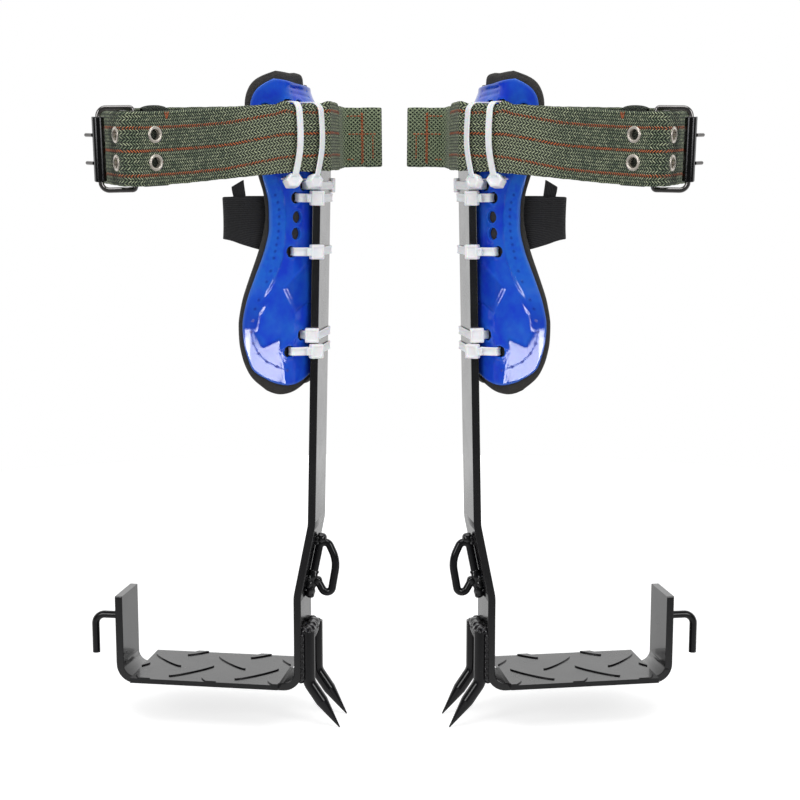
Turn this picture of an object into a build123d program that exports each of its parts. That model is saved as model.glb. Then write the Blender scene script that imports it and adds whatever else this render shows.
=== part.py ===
from build123d import *
import math
import os

# Tree climbing spikes, a pair that mirrors itself. Millimetres, +Z up.
# One climber is drawn in its own frame: +X from the outer wall to the shank, +Y away
# from the viewer, z = 0 on the flat top of the tread plate. Then it is placed and mirrored.

# Placing of one climber in the pair
PLACE_X = -76.1
PLACE_Y = 32.5
PLACE_Z = 39.28
TOE_IN = -8.5

# Stirrup bar
BAR_WIDTH = 40.0
BAR_THICKNESS = 6.0
INNER_WIDTH = 139.0
WALL_TOP = 61.0
FOOT_BEND_RADIUS = 12.0
JOG_START = 66.0
JOG_END = 124.0
JOG_OFFSET = 12.0
JOG_RADIUS = 30.0
SHANK_LEAN = 1.35
SHANK_TOP = 438.0

# Tread plate with raised bars
TREAD_THICKNESS = 4.0
TREAD_LENGTH = 119.0
TREAD_WIDTH = 73.0
TREAD_GAP = 9.5
TREAD_BAR_LENGTH = 41.0
TREAD_BAR_WIDTH = 6.4
TREAD_BAR_RISE = 1.0
TREAD_PITCH = 53.4
TREAD_ROW_STEP = 25.0
TREAD_FIRST_BAR = -138.4
TREAD_FIRST_ROW = -13.0

# Spikes, strap hook and ankle loop
SPIKE_RADIUS = 5.0
SPIKE_SPREAD = 15.5
SPIKE_TOP = 38.0
SPIKE_BEND = -3.0
SPIKE_BEND_RADIUS = 12.0
SPIKE_TIP_REACH = 24.4
SPIKE_TIP_DROP = 36.0
SPIKE_POINT = 25.0
SPIKE_TIP_RADIUS = 0.5
WELD_GAP = 0.05
HOOK_RADIUS = 3.0
HOOK_HEIGHT = 40.0
HOOK_REACH = 23.5
HOOK_END = 8.0
HOOK_BEND_RADIUS = 8.0
LOOP_RADIUS = 3.1
LOOP_FOOT = 84.0
LOOP_HEAD = 116.5
LOOP_OUTER = (31.0, 92.0)
LOOP_BOTTOM = (25.0, 58.0)
LOOP_END = (15.6, 75.0)
LOOP_HEAD_RADIUS = 4.6
LOOP_SIDE_RADIUS = 26.0
LOOP_BOTTOM_RADIUS = 4.2

# Guard: heights over the tread, half widths as angles round the guard's axis
GUARD_RADIUS = 54.0
GUARD_GAP = 0.4
SHELL_THICKNESS = 2.2
FOAM_GAP = 0.5
FOAM_THICKNESS = 6.0
SHELL_OUTLINE = [
    (233, 40),
    (240, 59),
    (250, 71),
    (266, 78.5),
    (283, 80),
    (300, 76.4),
    (317, 70),
    (334, 63),
    (350, 58.5),
    (373, 59.2),
    (393, 65.5),
    (420, 72),
    (442, 76),
    (454, 71),
    (461, 60),
]
FOAM_OUTLINE = [
    (227, 42),
    (233, 60),
    (241, 70.5),
    (251, 78),
    (266, 82.8),
    (283, 83.8),
    (300, 80.4),
    (317, 74),
    (333, 67.5),
    (348, 62.5),
    (360, 60.3),
    (377, 62),
    (393, 68.5),
    (420, 76),
    (442, 80.4),
    (456, 76),
    (467, 62),
]
VENT_HEIGHT = 9.0
VENT_WIDTH = 6.5
VENTS = [(361, 33.5), (348.7, 34.3), (444.5, 63)]

# Cable ties
TIE_WIDTH = 6.4
TIE_THICKNESS = 1.3
TIE_CLEARANCE = 0.35
TIE_INNER_RADIUS = 50.55
TIE_OUTER_REACH = 1.6
TIE_SLOT_HEIGHT = 7.4
TIE_CORNER_RADIUS = 1.4
TIE_ARC_RADIUS = 20.0
TIE_GROOVE_RADIUS = 49.1
TIE_GROOVE_MARGIN = 6.0
HEAD_LENGTH = 10.5
HEAD_DEPTH = 5.6
HEAD_HEIGHT = 11.0
HEAD_LIFT = 2.4
HEAD_CHAMFER = 1.0
SHANK_TIES = [(384.6, 24, 1), (375.3, 33, -1), (335.4, 37, -1), (272.4, 24, -1), (260.6, 38, -1)]
TIE_HEAD_PLACES = [0.6, 0.75, 0.8, 0.5, 0.85]

# Calf strap of ribbed elastic, with its tab
STRAP_BOTTOM = 336.0
STRAP_WIDTH = 40.0
STRAP_THICKNESS = 2.2
STRAP_ANCHOR = (-10.5, 33.5)
STRAP_SIDE = (-29.0, 46.0)
STRAP_CORNER = (-47.0, 36.0)
STRAP_SIDE_RADIUS = 9.0
STRAP_CORNER_RADIUS = 14.0
TAB_LENGTH = 12.0
TAB_THICKNESS = 1.6
TAB_BOTTOM = 350.0
TAB_TOP = 389.0
TAB_PLACE = 0.32
TAB_INSET = 4.0

# Belt webbing, lying a little lower at the buckle
BELT_WIDTH = 50.0
BELT_THICKNESS = 2.4
BELT_MIDDLE = 416.5
BELT_TILT = 3.5
BELT_TILT_Y = -30.0
LAYER_PITCH = 5.2
NEAR_RUN_ANGLE = 233.5
DIVE_ANGLE = 128.5
NEAR_RUN_LENGTH = 132.5
DIVE_LENGTH = 42.0
FOLD_CLEARANCE = 0.25
FOLD_LEG = 11.0
FOLD_LEG_LIFT = 2.2
INNER_FACE_X = 27.2
CORNER_Y = -27.0
TAIL_END_Y = 14.0
TONGUE_Y = 52.0
TONGUE_LENGTH = 30.5
TONGUE_ANGLE = 8.5
TONGUE_PITCH = 3.1
TONGUE_RETURN = 38.0
FAR_RUN = (-70.0, 70.0)
OUTER_RUN = (-146.0, 8.0)
CREASE_RADIUS = 8.0
CORNER_RADIUS = 5.0
TONGUE_CORNER_RADIUS = 6.0
TONGUE_FOLD_RADIUS = 1.5
RETURN_RADIUS = 20.0
LOOP_BEND_RADIUS = 45.0
DIVE_RADIUS = 35.0

# Buckle on the belt
HEEL_X = -77.27
HEEL_Y = -149.63
WIRE_RADIUS = 1.8
FRAME_LENGTH = 22.6
FRAME_HALF_HEIGHT = 27.1
FRAME_ANGLE = 199.0
FRAME_CORNER_RADIUS = 5.4
HEEL_CORNER_RADIUS = 2.0
SLEEVE_RADIUS = 3.9
SLEEVE_CLEARANCE = 0.09
SLEEVE_LENGTH = 43.0
LIP_REACH = 7.2
LIP_THICKNESS = 1.5
PRONG_ANGLE = 143.0
PRONG_LENGTH = 16.5
PRONG_RADIUS = 1.3
ROW_OFFSET = 9.3

# Eyelets and keeper
EYELET_HOLE = 3.6
EYELET_BARREL = 4.2
EYELET_FLANGE = 5.7
EYELET_FLANGE_THICKNESS = 0.7
WASHER_RADIUS = 5.2
WASHER_THICKNESS = 0.7
EYELET_DIVE_OFFSET = 8.0
EYELET_RUN_OFFSET = 10.8
KEEPER_START = 5.0
KEEPER_LENGTH = 19.5
KEEPER_WALL = 1.3
KEEPER_CLEARANCE = 0.35
KEEPER_RISE = 1.9
KEEPER_DROP = 0.4

# Belt ties
BELT_TIE_STATIONS = [4.8, 22.2]
BELT_TIE_FRONT = 4.4
BELT_TIE_WIDTH = 5.4
BELT_TIE_TOP = 444.6
BELT_TIE_BOTTOM = 388.9
BELT_TIE_SLOT_HEIGHT = 4.4
BELT_TIE_SLOT_WIDTH = 8.4
BELT_HEAD_LENGTH = 12.5
BELT_HEAD_DEPTH = 6.0
BELT_HEAD_HEIGHT = 9.4
BELT_HEAD_INSET = 5.0
BELT_HEAD_DROP = 4.1


def heading(angle):
    """Unit vector in plan at an angle in degrees from +X."""
    turn = math.radians(angle)
    return Vector(math.cos(turn), math.sin(turn), 0)


def rounded_path(points, radii):
    """Wire of straight runs through the points, each inner corner rounded."""
    corners = [Vector(*point) for point in points]
    edges = []
    run_start = corners[0]
    for before, corner, after, radius in zip(corners, corners[1:], corners[2:], radii):
        arriving = (corner - before).normalized()
        leaving = (after - corner).normalized()
        half_turn = math.radians(arriving.get_angle(leaving)) / 2
        reach = radius * math.tan(half_turn)
        arc_start = corner - arriving * reach
        arc_end = corner + leaving * reach
        inward = (leaving - arriving).normalized()
        arc_middle = corner + inward * (radius / math.cos(half_turn) - radius)
        edges.append(Line(run_start, arc_start))
        edges.append(ThreePointArc(arc_start, arc_middle, arc_end))
        run_start = arc_end
    edges.append(Line(run_start, corners[-1]))
    return Wire(edges)


def closed_band(points, radii, thickness, width):
    """Closed flat band round the points, lying in plan, its width along Z."""
    first = Vector(*points[0])
    last = Vector(*points[-1])
    seam = (first + last) / 2
    ring = rounded_path([seam, *points, seam], radii)
    outside = Face(ring.offset_2d(thickness / 2))
    inside = Face(ring.offset_2d(-thickness / 2))
    if outside.area < inside.area:
        outside, inside = inside, outside
    return extrude(outside - inside, amount=width / 2, both=True)


def strip(path, width, thickness, across):
    """Flat section swept along a path, its width along the direction across."""
    start = Plane(origin=path @ 0, x_dir=across, z_dir=path % 0)
    return sweep(start * Rectangle(width, thickness), path=path)


def rod(path, radius):
    """Round section swept along a path."""
    start = Plane(origin=path @ 0, z_dir=path % 0)
    return sweep(start * Circle(radius), path=path)


def pin_between(start, end, radius):
    """Straight round pin from one point to another."""
    plane = Plane(origin=start, z_dir=end - start)
    return plane * Cylinder(radius, (end - start).length, align=(Align.CENTER, Align.CENTER, Align.MIN))


# Steel
def shank_lean_at(height):
    """How far the leaning shank has moved at a height over the tread."""
    return JOG_OFFSET + (height - JOG_END) * math.tan(math.radians(SHANK_LEAN))


def make_stirrup_bar():
    half = BAR_THICKNESS / 2
    wall_x = -INNER_WIDTH - half
    foot_z = -TREAD_THICKNESS - half
    points = [
        (wall_x, 0, WALL_TOP),
        (wall_x, 0, foot_z),
        (half, 0, foot_z),
        (half, 0, JOG_START),
        (half + JOG_OFFSET, 0, JOG_END),
        (half + shank_lean_at(SHANK_TOP), 0, SHANK_TOP),
    ]
    radii = [FOOT_BEND_RADIUS, FOOT_BEND_RADIUS, JOG_RADIUS, JOG_RADIUS]
    return strip(rounded_path(points, radii), BAR_WIDTH, BAR_THICKNESS, (0, 1, 0))


def make_tread_plate():
    middle_x = -TREAD_GAP - TREAD_LENGTH / 2
    bottom = (Align.CENTER, Align.CENTER, Align.MAX)
    plate = Pos(middle_x, 0, 0) * Box(TREAD_LENGTH, TREAD_WIDTH, TREAD_THICKNESS, align=bottom)
    top = (Align.CENTER, Align.CENTER, Align.MIN)
    over_plate = Pos(middle_x, 0, 0) * Box(TREAD_LENGTH, TREAD_WIDTH, TREAD_BAR_RISE, align=top)
    bar = extrude(Ellipse(TREAD_BAR_LENGTH / 2, TREAD_BAR_WIDTH / 2), amount=TREAD_BAR_RISE)
    bars = []
    for column in range(6):
        slant = 45 if column % 2 == 0 else -45
        row = TREAD_FIRST_ROW + (TREAD_ROW_STEP if column % 2 else 0)
        bar_x = TREAD_FIRST_BAR + column * TREAD_PITCH / 2
        for step in (-1, 0, 1):
            raised = Pos(bar_x, row + step * TREAD_PITCH, 0) * Rot(0, 0, slant) * bar
            kept = raised & over_plate
            if kept is not None and kept.volume > 1:
                bars.append(kept)
    for raised in bars:
        plate = plate + raised
    return plate


def make_spike(side):
    axis_x = BAR_THICKNESS + SPIKE_RADIUS + WELD_GAP
    y = side * SPIKE_SPREAD
    bend = Vector(axis_x, y, SPIKE_BEND)
    tip = Vector(axis_x + SPIKE_TIP_REACH, y, SPIKE_BEND - SPIKE_TIP_DROP)
    toward_tip = (tip - bend).normalized()
    point_start = tip - toward_tip * SPIKE_POINT
    path = rounded_path([(axis_x, y, SPIKE_TOP), bend, point_start], [SPIKE_BEND_RADIUS])
    point_plane = Plane(origin=point_start, z_dir=toward_tip)
    point = Solid.make_cone(SPIKE_RADIUS, SPIKE_TIP_RADIUS, SPIKE_POINT, point_plane)
    return rod(path, SPIKE_RADIUS) + point


def make_strap_hook():
    wall_face = -INNER_WIDTH - BAR_THICKNESS - WELD_GAP
    leg_x = wall_face - HOOK_REACH
    points = [(wall_face, 0, HOOK_HEIGHT), (leg_x, 0, HOOK_HEIGHT), (leg_x, 0, HOOK_END)]
    return rod(rounded_path(points, [HOOK_BEND_RADIUS]), HOOK_RADIUS)


def make_ankle_loop():
    jog_turn = math.atan2(JOG_OFFSET, JOG_END - JOG_START)
    face_step = (BAR_THICKNESS + LOOP_RADIUS + WELD_GAP) / math.cos(jog_turn)

    def on_jog(height):
        return face_step + (height - JOG_START) * math.tan(jog_turn)

    points = [
        (on_jog(LOOP_FOOT), 0, LOOP_FOOT),
        (on_jog(LOOP_HEAD), 0, LOOP_HEAD),
        (LOOP_OUTER[0], 0, LOOP_OUTER[1]),
        (LOOP_BOTTOM[0], 0, LOOP_BOTTOM[1]),
        (LOOP_END[0], 0, LOOP_END[1]),
    ]
    radii = [LOOP_HEAD_RADIUS, LOOP_SIDE_RADIUS, LOOP_BOTTOM_RADIUS]
    return rod(rounded_path(points, radii), LOOP_RADIUS)


# Guard, in a frame that leans with the shank: x = 0 on its outer face
GUARD_FRAME = Pos(JOG_OFFSET, 0, JOG_END) * Rot(0, SHANK_LEAN, 0)
GUARD_AXIS_X = -GUARD_GAP - GUARD_RADIUS


def guard_point(radius, angle):
    return Vector(GUARD_AXIS_X, 0, 0) + heading(angle) * radius


def ring_sector(outer, inner, half_angle, height):
    """Face of a ring round the guard's axis, open on the calf side."""
    sector_plane = Plane(origin=(GUARD_AXIS_X, 0, height - JOG_END))
    outer_arc = CenterArc((0, 0), outer, -half_angle, 2 * half_angle)
    inner_arc = CenterArc((0, 0), inner, -half_angle, 2 * half_angle)
    near_side = Line(outer_arc @ 0, inner_arc @ 0)
    far_side = Line(outer_arc @ 1, inner_arc @ 1)
    return sector_plane * make_face([outer_arc, far_side, inner_arc, near_side])


def guard_layer(outer, thickness, outline):
    sections = [ring_sector(outer, outer - thickness, angle, height) for height, angle in outline]
    return loft(sections)


def radial_slot(angle, height, tall, wide):
    """Cutter through the shell at an angle and a height."""
    slot = extrude(SlotOverall(max(tall, wide), min(tall, wide)), amount=SHELL_THICKNESS * 3, both=True)
    upright = 90 if tall > wide else 0
    at_wall = Pos(GUARD_RADIUS, 0, 0) * Rot(0, 90, 0) * Rot(0, 0, 90 + upright) * slot
    return Pos(GUARD_AXIS_X, 0, height - JOG_END) * Rot(0, 0, angle) * at_wall


def belt_tie_crossing(station):
    """Angle and radius round the guard's axis where a belt tie crosses the belt."""
    axis = Vector(shank_lean_at(BELT_MIDDLE) + GUARD_AXIS_X, 0, 0)
    from_axis = CREASE_OUTER + FRONT_RUN * station - axis
    angle = math.degrees(math.atan2(from_axis.Y, from_axis.X))
    return angle, from_axis.length


def make_guard_shell():
    shell = guard_layer(GUARD_RADIUS, SHELL_THICKNESS, SHELL_OUTLINE)
    for height, angle in VENTS:
        for side in (-1, 1):
            shell = shell - radial_slot(side * angle, height, VENT_HEIGHT, VENT_WIDTH)
    for height, angle, _ in SHANK_TIES:
        for side in (-1, 1):
            shell = shell - radial_slot(side * angle, height, TIE_SLOT_HEIGHT, VENT_WIDTH)
    for station in BELT_TIE_STATIONS:
        angle = belt_tie_crossing(station)[0]
        for height in (BELT_TIE_TOP, BELT_TIE_BOTTOM):
            shell = shell - radial_slot(angle, height, BELT_TIE_SLOT_HEIGHT, BELT_TIE_SLOT_WIDTH)
    return shell


def make_guard_foam():
    outer = GUARD_RADIUS - SHELL_THICKNESS - FOAM_GAP
    foam = guard_layer(outer, FOAM_THICKNESS, FOAM_OUTLINE)
    for height, angle, _ in SHANK_TIES:
        bottom = height - TIE_SLOT_HEIGHT / 2
        groove = ring_sector(outer + 1, TIE_GROOVE_RADIUS, angle + TIE_GROOVE_MARGIN, bottom)
        foam = foam - extrude(groove, amount=TIE_SLOT_HEIGHT)
    for station in BELT_TIE_STATIONS:
        angle = belt_tie_crossing(station)[0]
        bottom = BELT_TIE_BOTTOM - BELT_TIE_SLOT_HEIGHT / 2
        groove = ring_sector(outer + 1, TIE_GROOVE_RADIUS, TIE_GROOVE_MARGIN, bottom)
        cutter = extrude(groove, amount=BELT_TIE_TOP - BELT_TIE_BOTTOM + BELT_TIE_SLOT_HEIGHT)
        around_axis = Pos(GUARD_AXIS_X, 0, 0) * Rot(0, 0, angle) * Pos(-GUARD_AXIS_X, 0, 0)
        foam = foam - around_axis * cutter
    return foam


def make_tie_head(length, depth, height):
    return chamfer(Box(length, depth, height).edges(), HEAD_CHAMFER)


def make_shank_tie(height, angle, head_side, head_place):
    """Tie round the shank, in through a hole of the shell, behind it and out again."""
    half = TIE_THICKNESS / 2
    reach = TIE_CLEARANCE + half
    outside_radius = GUARD_RADIUS + TIE_OUTER_REACH
    edge_x = BAR_THICKNESS + reach
    edge_y = BAR_WIDTH / 2 + reach
    points = [guard_point(TIE_INNER_RADIUS, angle * share) for share in (1, 0.5, 0, -0.5, -1)]
    points.append(guard_point(outside_radius, -angle))
    points.append(Vector(edge_x, -edge_y, 0))
    points.append(Vector(edge_x, edge_y, 0))
    points.append(guard_point(outside_radius, angle))
    corner = TIE_CORNER_RADIUS
    radii = [corner, TIE_ARC_RADIUS, TIE_ARC_RADIUS, TIE_ARC_RADIUS] + [corner] * 5
    band = closed_band(points, radii, TIE_THICKNESS, TIE_WIDTH)
    hole = guard_point(outside_radius, head_side * angle)
    edge = Vector(edge_x, head_side * edge_y, 0)
    along = (edge - hole).normalized()
    outward = along.rotate(Axis.Z, 90 * head_side)
    middle = hole + (edge - hole) * head_place + outward * HEAD_LIFT
    head_plane = Plane(origin=middle, x_dir=along, z_dir=(0, 0, 1))
    head = head_plane * make_tie_head(HEAD_LENGTH, HEAD_DEPTH, HEAD_HEIGHT)
    return Pos(0, 0, height - JOG_END) * (band + head)


def make_belt_tie(station):
    """Tie that holds the belt against the guard, through holes over and under the belt."""
    angle, radius = belt_tie_crossing(station)
    outward = heading(angle)
    axis = Vector(GUARD_AXIS_X, 0, 0)
    plane = Plane(origin=axis, x_dir=outward, z_dir=outward.cross(Vector(0, 0, 1)))
    front = radius + BELT_TIE_FRONT
    low = BELT_TIE_BOTTOM - JOG_END
    high = BELT_TIE_TOP - JOG_END
    points = [(front, low, 0), (front, high, 0), (TIE_INNER_RADIUS, high, 0), (TIE_INNER_RADIUS, low, 0)]
    band = closed_band(points, [TIE_CORNER_RADIUS] * 4, TIE_THICKNESS, BELT_TIE_WIDTH)
    head = make_tie_head(BELT_HEAD_DEPTH, BELT_HEAD_HEIGHT, BELT_HEAD_LENGTH)
    head = Pos(front - BELT_HEAD_INSET, low - BELT_HEAD_DROP, 0) * head
    return plane * (band + head)


# Calf strap
def make_calf_strap():
    level = STRAP_BOTTOM + STRAP_WIDTH / 2
    near = [(x, -y, level) for x, y in (STRAP_ANCHOR, STRAP_SIDE, STRAP_CORNER)]
    far = [(x, y, level) for x, y in (STRAP_CORNER, STRAP_SIDE, STRAP_ANCHOR)]
    radii = [STRAP_SIDE_RADIUS, STRAP_CORNER_RADIUS, STRAP_CORNER_RADIUS, STRAP_SIDE_RADIUS]
    return strip(rounded_path(near + far, radii), STRAP_WIDTH, STRAP_THICKNESS, (0, 0, 1))


def make_calf_strap_tab():
    side = Vector(STRAP_SIDE[0], -STRAP_SIDE[1], 0)
    corner = Vector(STRAP_CORNER[0], -STRAP_CORNER[1], 0)
    along = (corner - side).normalized()
    inward = along.rotate(Axis.Z, -90)
    level = Vector(0, 0, (TAB_BOTTOM + TAB_TOP) / 2)
    middle = side + (corner - side) * TAB_PLACE + inward * TAB_INSET + level
    plane = Plane(origin=middle, x_dir=along, z_dir=(0, 0, 1))
    return plane * Box(TAB_LENGTH, TAB_THICKNESS, TAB_TOP - TAB_BOTTOM)


# Belt plan: the inner layer starts folded round the heel bar of the buckle, runs to the
# shank, folds into a short tongue, passes behind the calf, comes back over the heel bar
# and lies on the inner layer as the outer layer.
HEEL = Vector(HEEL_X, HEEL_Y, 0)
TO_BUCKLE = heading(NEAR_RUN_ANGLE)
RUN_OUT = heading(NEAR_RUN_ANGLE + 90)
DIVE = heading(DIVE_ANGLE)
DIVE_OUT = heading(DIVE_ANGLE + 90)
FOLD_RADIUS = WIRE_RADIUS + FOLD_CLEARANCE + BELT_THICKNESS / 2
OVER_RADIUS = FOLD_RADIUS + LAYER_PITCH
CREASE_OUTER = HEEL + RUN_OUT * OVER_RADIUS - TO_BUCKLE * NEAR_RUN_LENGTH
CORNER_OUTER = Vector(INNER_FACE_X + LAYER_PITCH, CORNER_Y, 0)
FRONT_RUN = (CORNER_OUTER - CREASE_OUTER).normalized()
BELT_FRAME = Pos(0, BELT_TILT_Y, BELT_MIDDLE) * Rot(BELT_TILT, 0, 0) * Pos(0, -BELT_TILT_Y, 0)


def one_layer_in(corner, before, after):
    """Corner of the inner layer under a corner of the outer layer."""
    return corner - (before + after) * (LAYER_PITCH / (1 + before.dot(after)))


def belt_path():
    front_out = FRONT_RUN.rotate(Axis.Z, -90)
    crease_inner = one_layer_in(CREASE_OUTER, RUN_OUT, front_out)
    corner_inner = one_layer_in(CORNER_OUTER, front_out, Vector(1, 0, 0))
    tongue_run = heading(TONGUE_ANGLE)
    tongue_start = Vector(INNER_FACE_X, TONGUE_Y, 0)
    tongue_end = tongue_start + tongue_run * TONGUE_LENGTH
    tongue_back = tongue_end + heading(TONGUE_ANGLE + 90) * TONGUE_PITCH
    dive_start = HEEL + DIVE_OUT * OVER_RADIUS
    dive_end = dive_start + DIVE * DIVE_LENGTH
    half_turn = math.radians(NEAR_RUN_ANGLE - DIVE_ANGLE) / 2
    fold = FOLD_RADIUS
    points = [
        HEEL - TO_BUCKLE * FOLD_LEG - RUN_OUT * (fold - FOLD_LEG_LIFT),
        HEEL - TO_BUCKLE * (FOLD_LEG / 4) - RUN_OUT * fold,
        HEEL + TO_BUCKLE * fold - RUN_OUT * fold,
        HEEL + TO_BUCKLE * fold + RUN_OUT * fold,
        crease_inner,
        corner_inner,
        tongue_start,
        tongue_end,
        tongue_back,
        tongue_back - tongue_run * TONGUE_RETURN,
        Vector(*FAR_RUN, 0),
        Vector(*OUTER_RUN, 0),
        dive_end,
        HEEL + RUN_OUT * OVER_RADIUS + TO_BUCKLE * (OVER_RADIUS * math.tan(half_turn)),
        CREASE_OUTER,
        CORNER_OUTER,
        Vector(INNER_FACE_X + LAYER_PITCH, TAIL_END_Y, 0),
    ]
    radii = [
        CORNER_RADIUS,
        fold * 0.98,
        fold * 0.98,
        CREASE_RADIUS,
        CORNER_RADIUS,
        TONGUE_CORNER_RADIUS,
        TONGUE_FOLD_RADIUS,
        TONGUE_FOLD_RADIUS,
        RETURN_RADIUS,
        LOOP_BEND_RADIUS,
        LOOP_BEND_RADIUS,
        DIVE_RADIUS,
        OVER_RADIUS,
        CREASE_RADIUS + LAYER_PITCH,
        CORNER_RADIUS + LAYER_PITCH,
    ]
    return rounded_path(points, radii)


def eyelet_planes():
    """Planes of the eyelets on the outer layer, Z outward: two columns of two."""
    on_dive = HEEL + DIVE_OUT * OVER_RADIUS + DIVE * EYELET_DIVE_OFFSET
    on_run = HEEL + RUN_OUT * OVER_RADIUS - TO_BUCKLE * EYELET_RUN_OFFSET
    planes = []
    for place, outward in ((on_dive, DIVE_OUT), (on_run, RUN_OUT)):
        for row in (-ROW_OFFSET, ROW_OFFSET):
            planes.append(Plane(origin=place + Vector(0, 0, row), z_dir=outward))
    return planes


def make_belt():
    belt = strip(belt_path(), BELT_WIDTH, BELT_THICKNESS, (0, 0, 1))
    for plane in eyelet_planes():
        belt = belt - plane * Cylinder(EYELET_BARREL + 0.1, BELT_THICKNESS * 2)
    return BELT_FRAME * belt


def ring(outer, inner, low, high):
    """Flat ring between two heights."""
    disc = Circle(outer) - Circle(inner)
    return Pos(0, 0, low) * extrude(disc, amount=high - low)


def make_eyelets():
    face = BELT_THICKNESS / 2 + 0.02
    flange = ring(EYELET_FLANGE, EYELET_HOLE, face, face + EYELET_FLANGE_THICKNESS)
    barrel = ring(EYELET_BARREL, EYELET_HOLE, -face, face)
    eyelet = flange + barrel
    return BELT_FRAME * Compound([plane * eyelet for plane in eyelet_planes()])


def make_washers():
    face = BELT_THICKNESS / 2 + 0.04
    washer = ring(WASHER_RADIUS, EYELET_HOLE, -face - WASHER_THICKNESS, -face)
    return BELT_FRAME * Compound([plane * washer for plane in eyelet_planes()])


def make_belt_keeper():
    middle = HEEL + RUN_OUT * FOLD_RADIUS - TO_BUCKLE * (KEEPER_START + KEEPER_LENGTH / 2)
    level = Vector(0, 0, (KEEPER_RISE - KEEPER_DROP) / 2)
    plane = Plane(origin=middle + level, x_dir=RUN_OUT, z_dir=TO_BUCKLE)
    inner_depth = BELT_THICKNESS + 2 * KEEPER_CLEARANCE
    inner_height = BELT_WIDTH + KEEPER_RISE + KEEPER_DROP
    outside = Rectangle(inner_depth + 2 * KEEPER_WALL, inner_height + 2 * KEEPER_WALL)
    loop = extrude(outside - Rectangle(inner_depth, inner_height), amount=KEEPER_LENGTH / 2, both=True)
    return BELT_FRAME * (plane * loop)


# Buckle
def make_buckle_frame():
    plane = Plane(origin=HEEL, x_dir=heading(FRAME_ANGLE), z_dir=heading(FRAME_ANGLE + 90))
    half = FRAME_HALF_HEIGHT
    corners = [(FRAME_LENGTH, -half), (FRAME_LENGTH, half), (0, half), (0, -half)]
    seam = (FRAME_LENGTH / 2, -half)
    outline = [plane.from_local_coords((x, y, 0)) for x, y in [seam, *corners, seam]]
    radii = [FRAME_CORNER_RADIUS] * 2 + [HEEL_CORNER_RADIUS] * 2
    path = rounded_path(outline, radii)
    return BELT_FRAME * rod(path, WIRE_RADIUS)


PRONG_BAR = HEEL + heading(FRAME_ANGLE) * FRAME_LENGTH
PRONG_WAY = heading(PRONG_ANGLE)


def make_prong_sleeve():
    """Sheet rolled round the outer bar of the frame, its two ends pressed into a flat lip."""
    half = SLEEVE_LENGTH / 2
    bore = WIRE_RADIUS + SLEEVE_CLEARANCE
    tube = ring(SLEEVE_RADIUS, bore, -half, half)
    lip_start = (SLEEVE_RADIUS + bore) / 2
    outward = (Align.MIN, Align.CENTER, Align.CENTER)
    lip = Box(LIP_REACH - lip_start, LIP_THICKNESS, SLEEVE_LENGTH, align=outward)
    lip = Rot(0, 0, PRONG_ANGLE) * Pos(lip_start, 0, 0) * lip
    return BELT_FRAME * (Pos(*PRONG_BAR) * (tube + lip))


def make_prong(row):
    level = Vector(0, 0, row)
    root = PRONG_BAR + level + PRONG_WAY * (LIP_REACH + WELD_GAP)
    end = PRONG_BAR + level + PRONG_WAY * (PRONG_LENGTH - PRONG_RADIUS)
    pin = pin_between(root, end, PRONG_RADIUS)
    tip = Pos(*end) * Sphere(PRONG_RADIUS)
    return BELT_FRAME * (pin + tip)


# One climber, then the pair
climber = {
    "stirrup_bar": make_stirrup_bar(),
    "tread_plate": make_tread_plate(),
    "spike_front": make_spike(-1),
    "spike_rear": make_spike(1),
    "strap_hook": make_strap_hook(),
    "ankle_loop": make_ankle_loop(),
    "guard_shell": GUARD_FRAME * make_guard_shell(),
    "guard_foam": GUARD_FRAME * make_guard_foam(),
    "calf_strap": make_calf_strap(),
    "calf_strap_tab": make_calf_strap_tab(),
    "belt": make_belt(),
    "belt_keeper": make_belt_keeper(),
    "belt_eyelets": make_eyelets(),
    "eyelet_washers": make_washers(),
    "buckle_frame": make_buckle_frame(),
    "prong_sleeve": make_prong_sleeve(),
    "prong_upper": make_prong(ROW_OFFSET),
    "prong_lower": make_prong(-ROW_OFFSET),
}
for number, station in enumerate(BELT_TIE_STATIONS, start=1):
    climber[f"belt_tie_{number}"] = GUARD_FRAME * make_belt_tie(station)
for number, (height, angle, head_side) in enumerate(SHANK_TIES, start=1):
    tie = make_shank_tie(height, angle, head_side, TIE_HEAD_PLACES[number - 1])
    climber[f"shank_tie_{number}"] = GUARD_FRAME * tie

os.makedirs("parts", exist_ok=True)
placing = Pos(PLACE_X, PLACE_Y, PLACE_Z) * Rot(0, 0, TOE_IN)
for name, piece in climber.items():
    left = placing * piece
    export_step(left, f"parts/left_{name}.step")
    export_step(mirror(left, about=Plane.YZ), f"parts/right_{name}.step")
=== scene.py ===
# %% [markdown]
# A pair of tree climbing spikes: a bent steel stirrup with two points, a shin guard, a
# webbing belt and cable ties on each side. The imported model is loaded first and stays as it
# is: steel and buckle parts keep their shape and only get a finish, and everything soft or
# moulded is built again here with its real surface.

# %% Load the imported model
import math

import bmesh
import bpy
import numpy as np
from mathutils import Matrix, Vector
from mathutils.kdtree import KDTree


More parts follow.
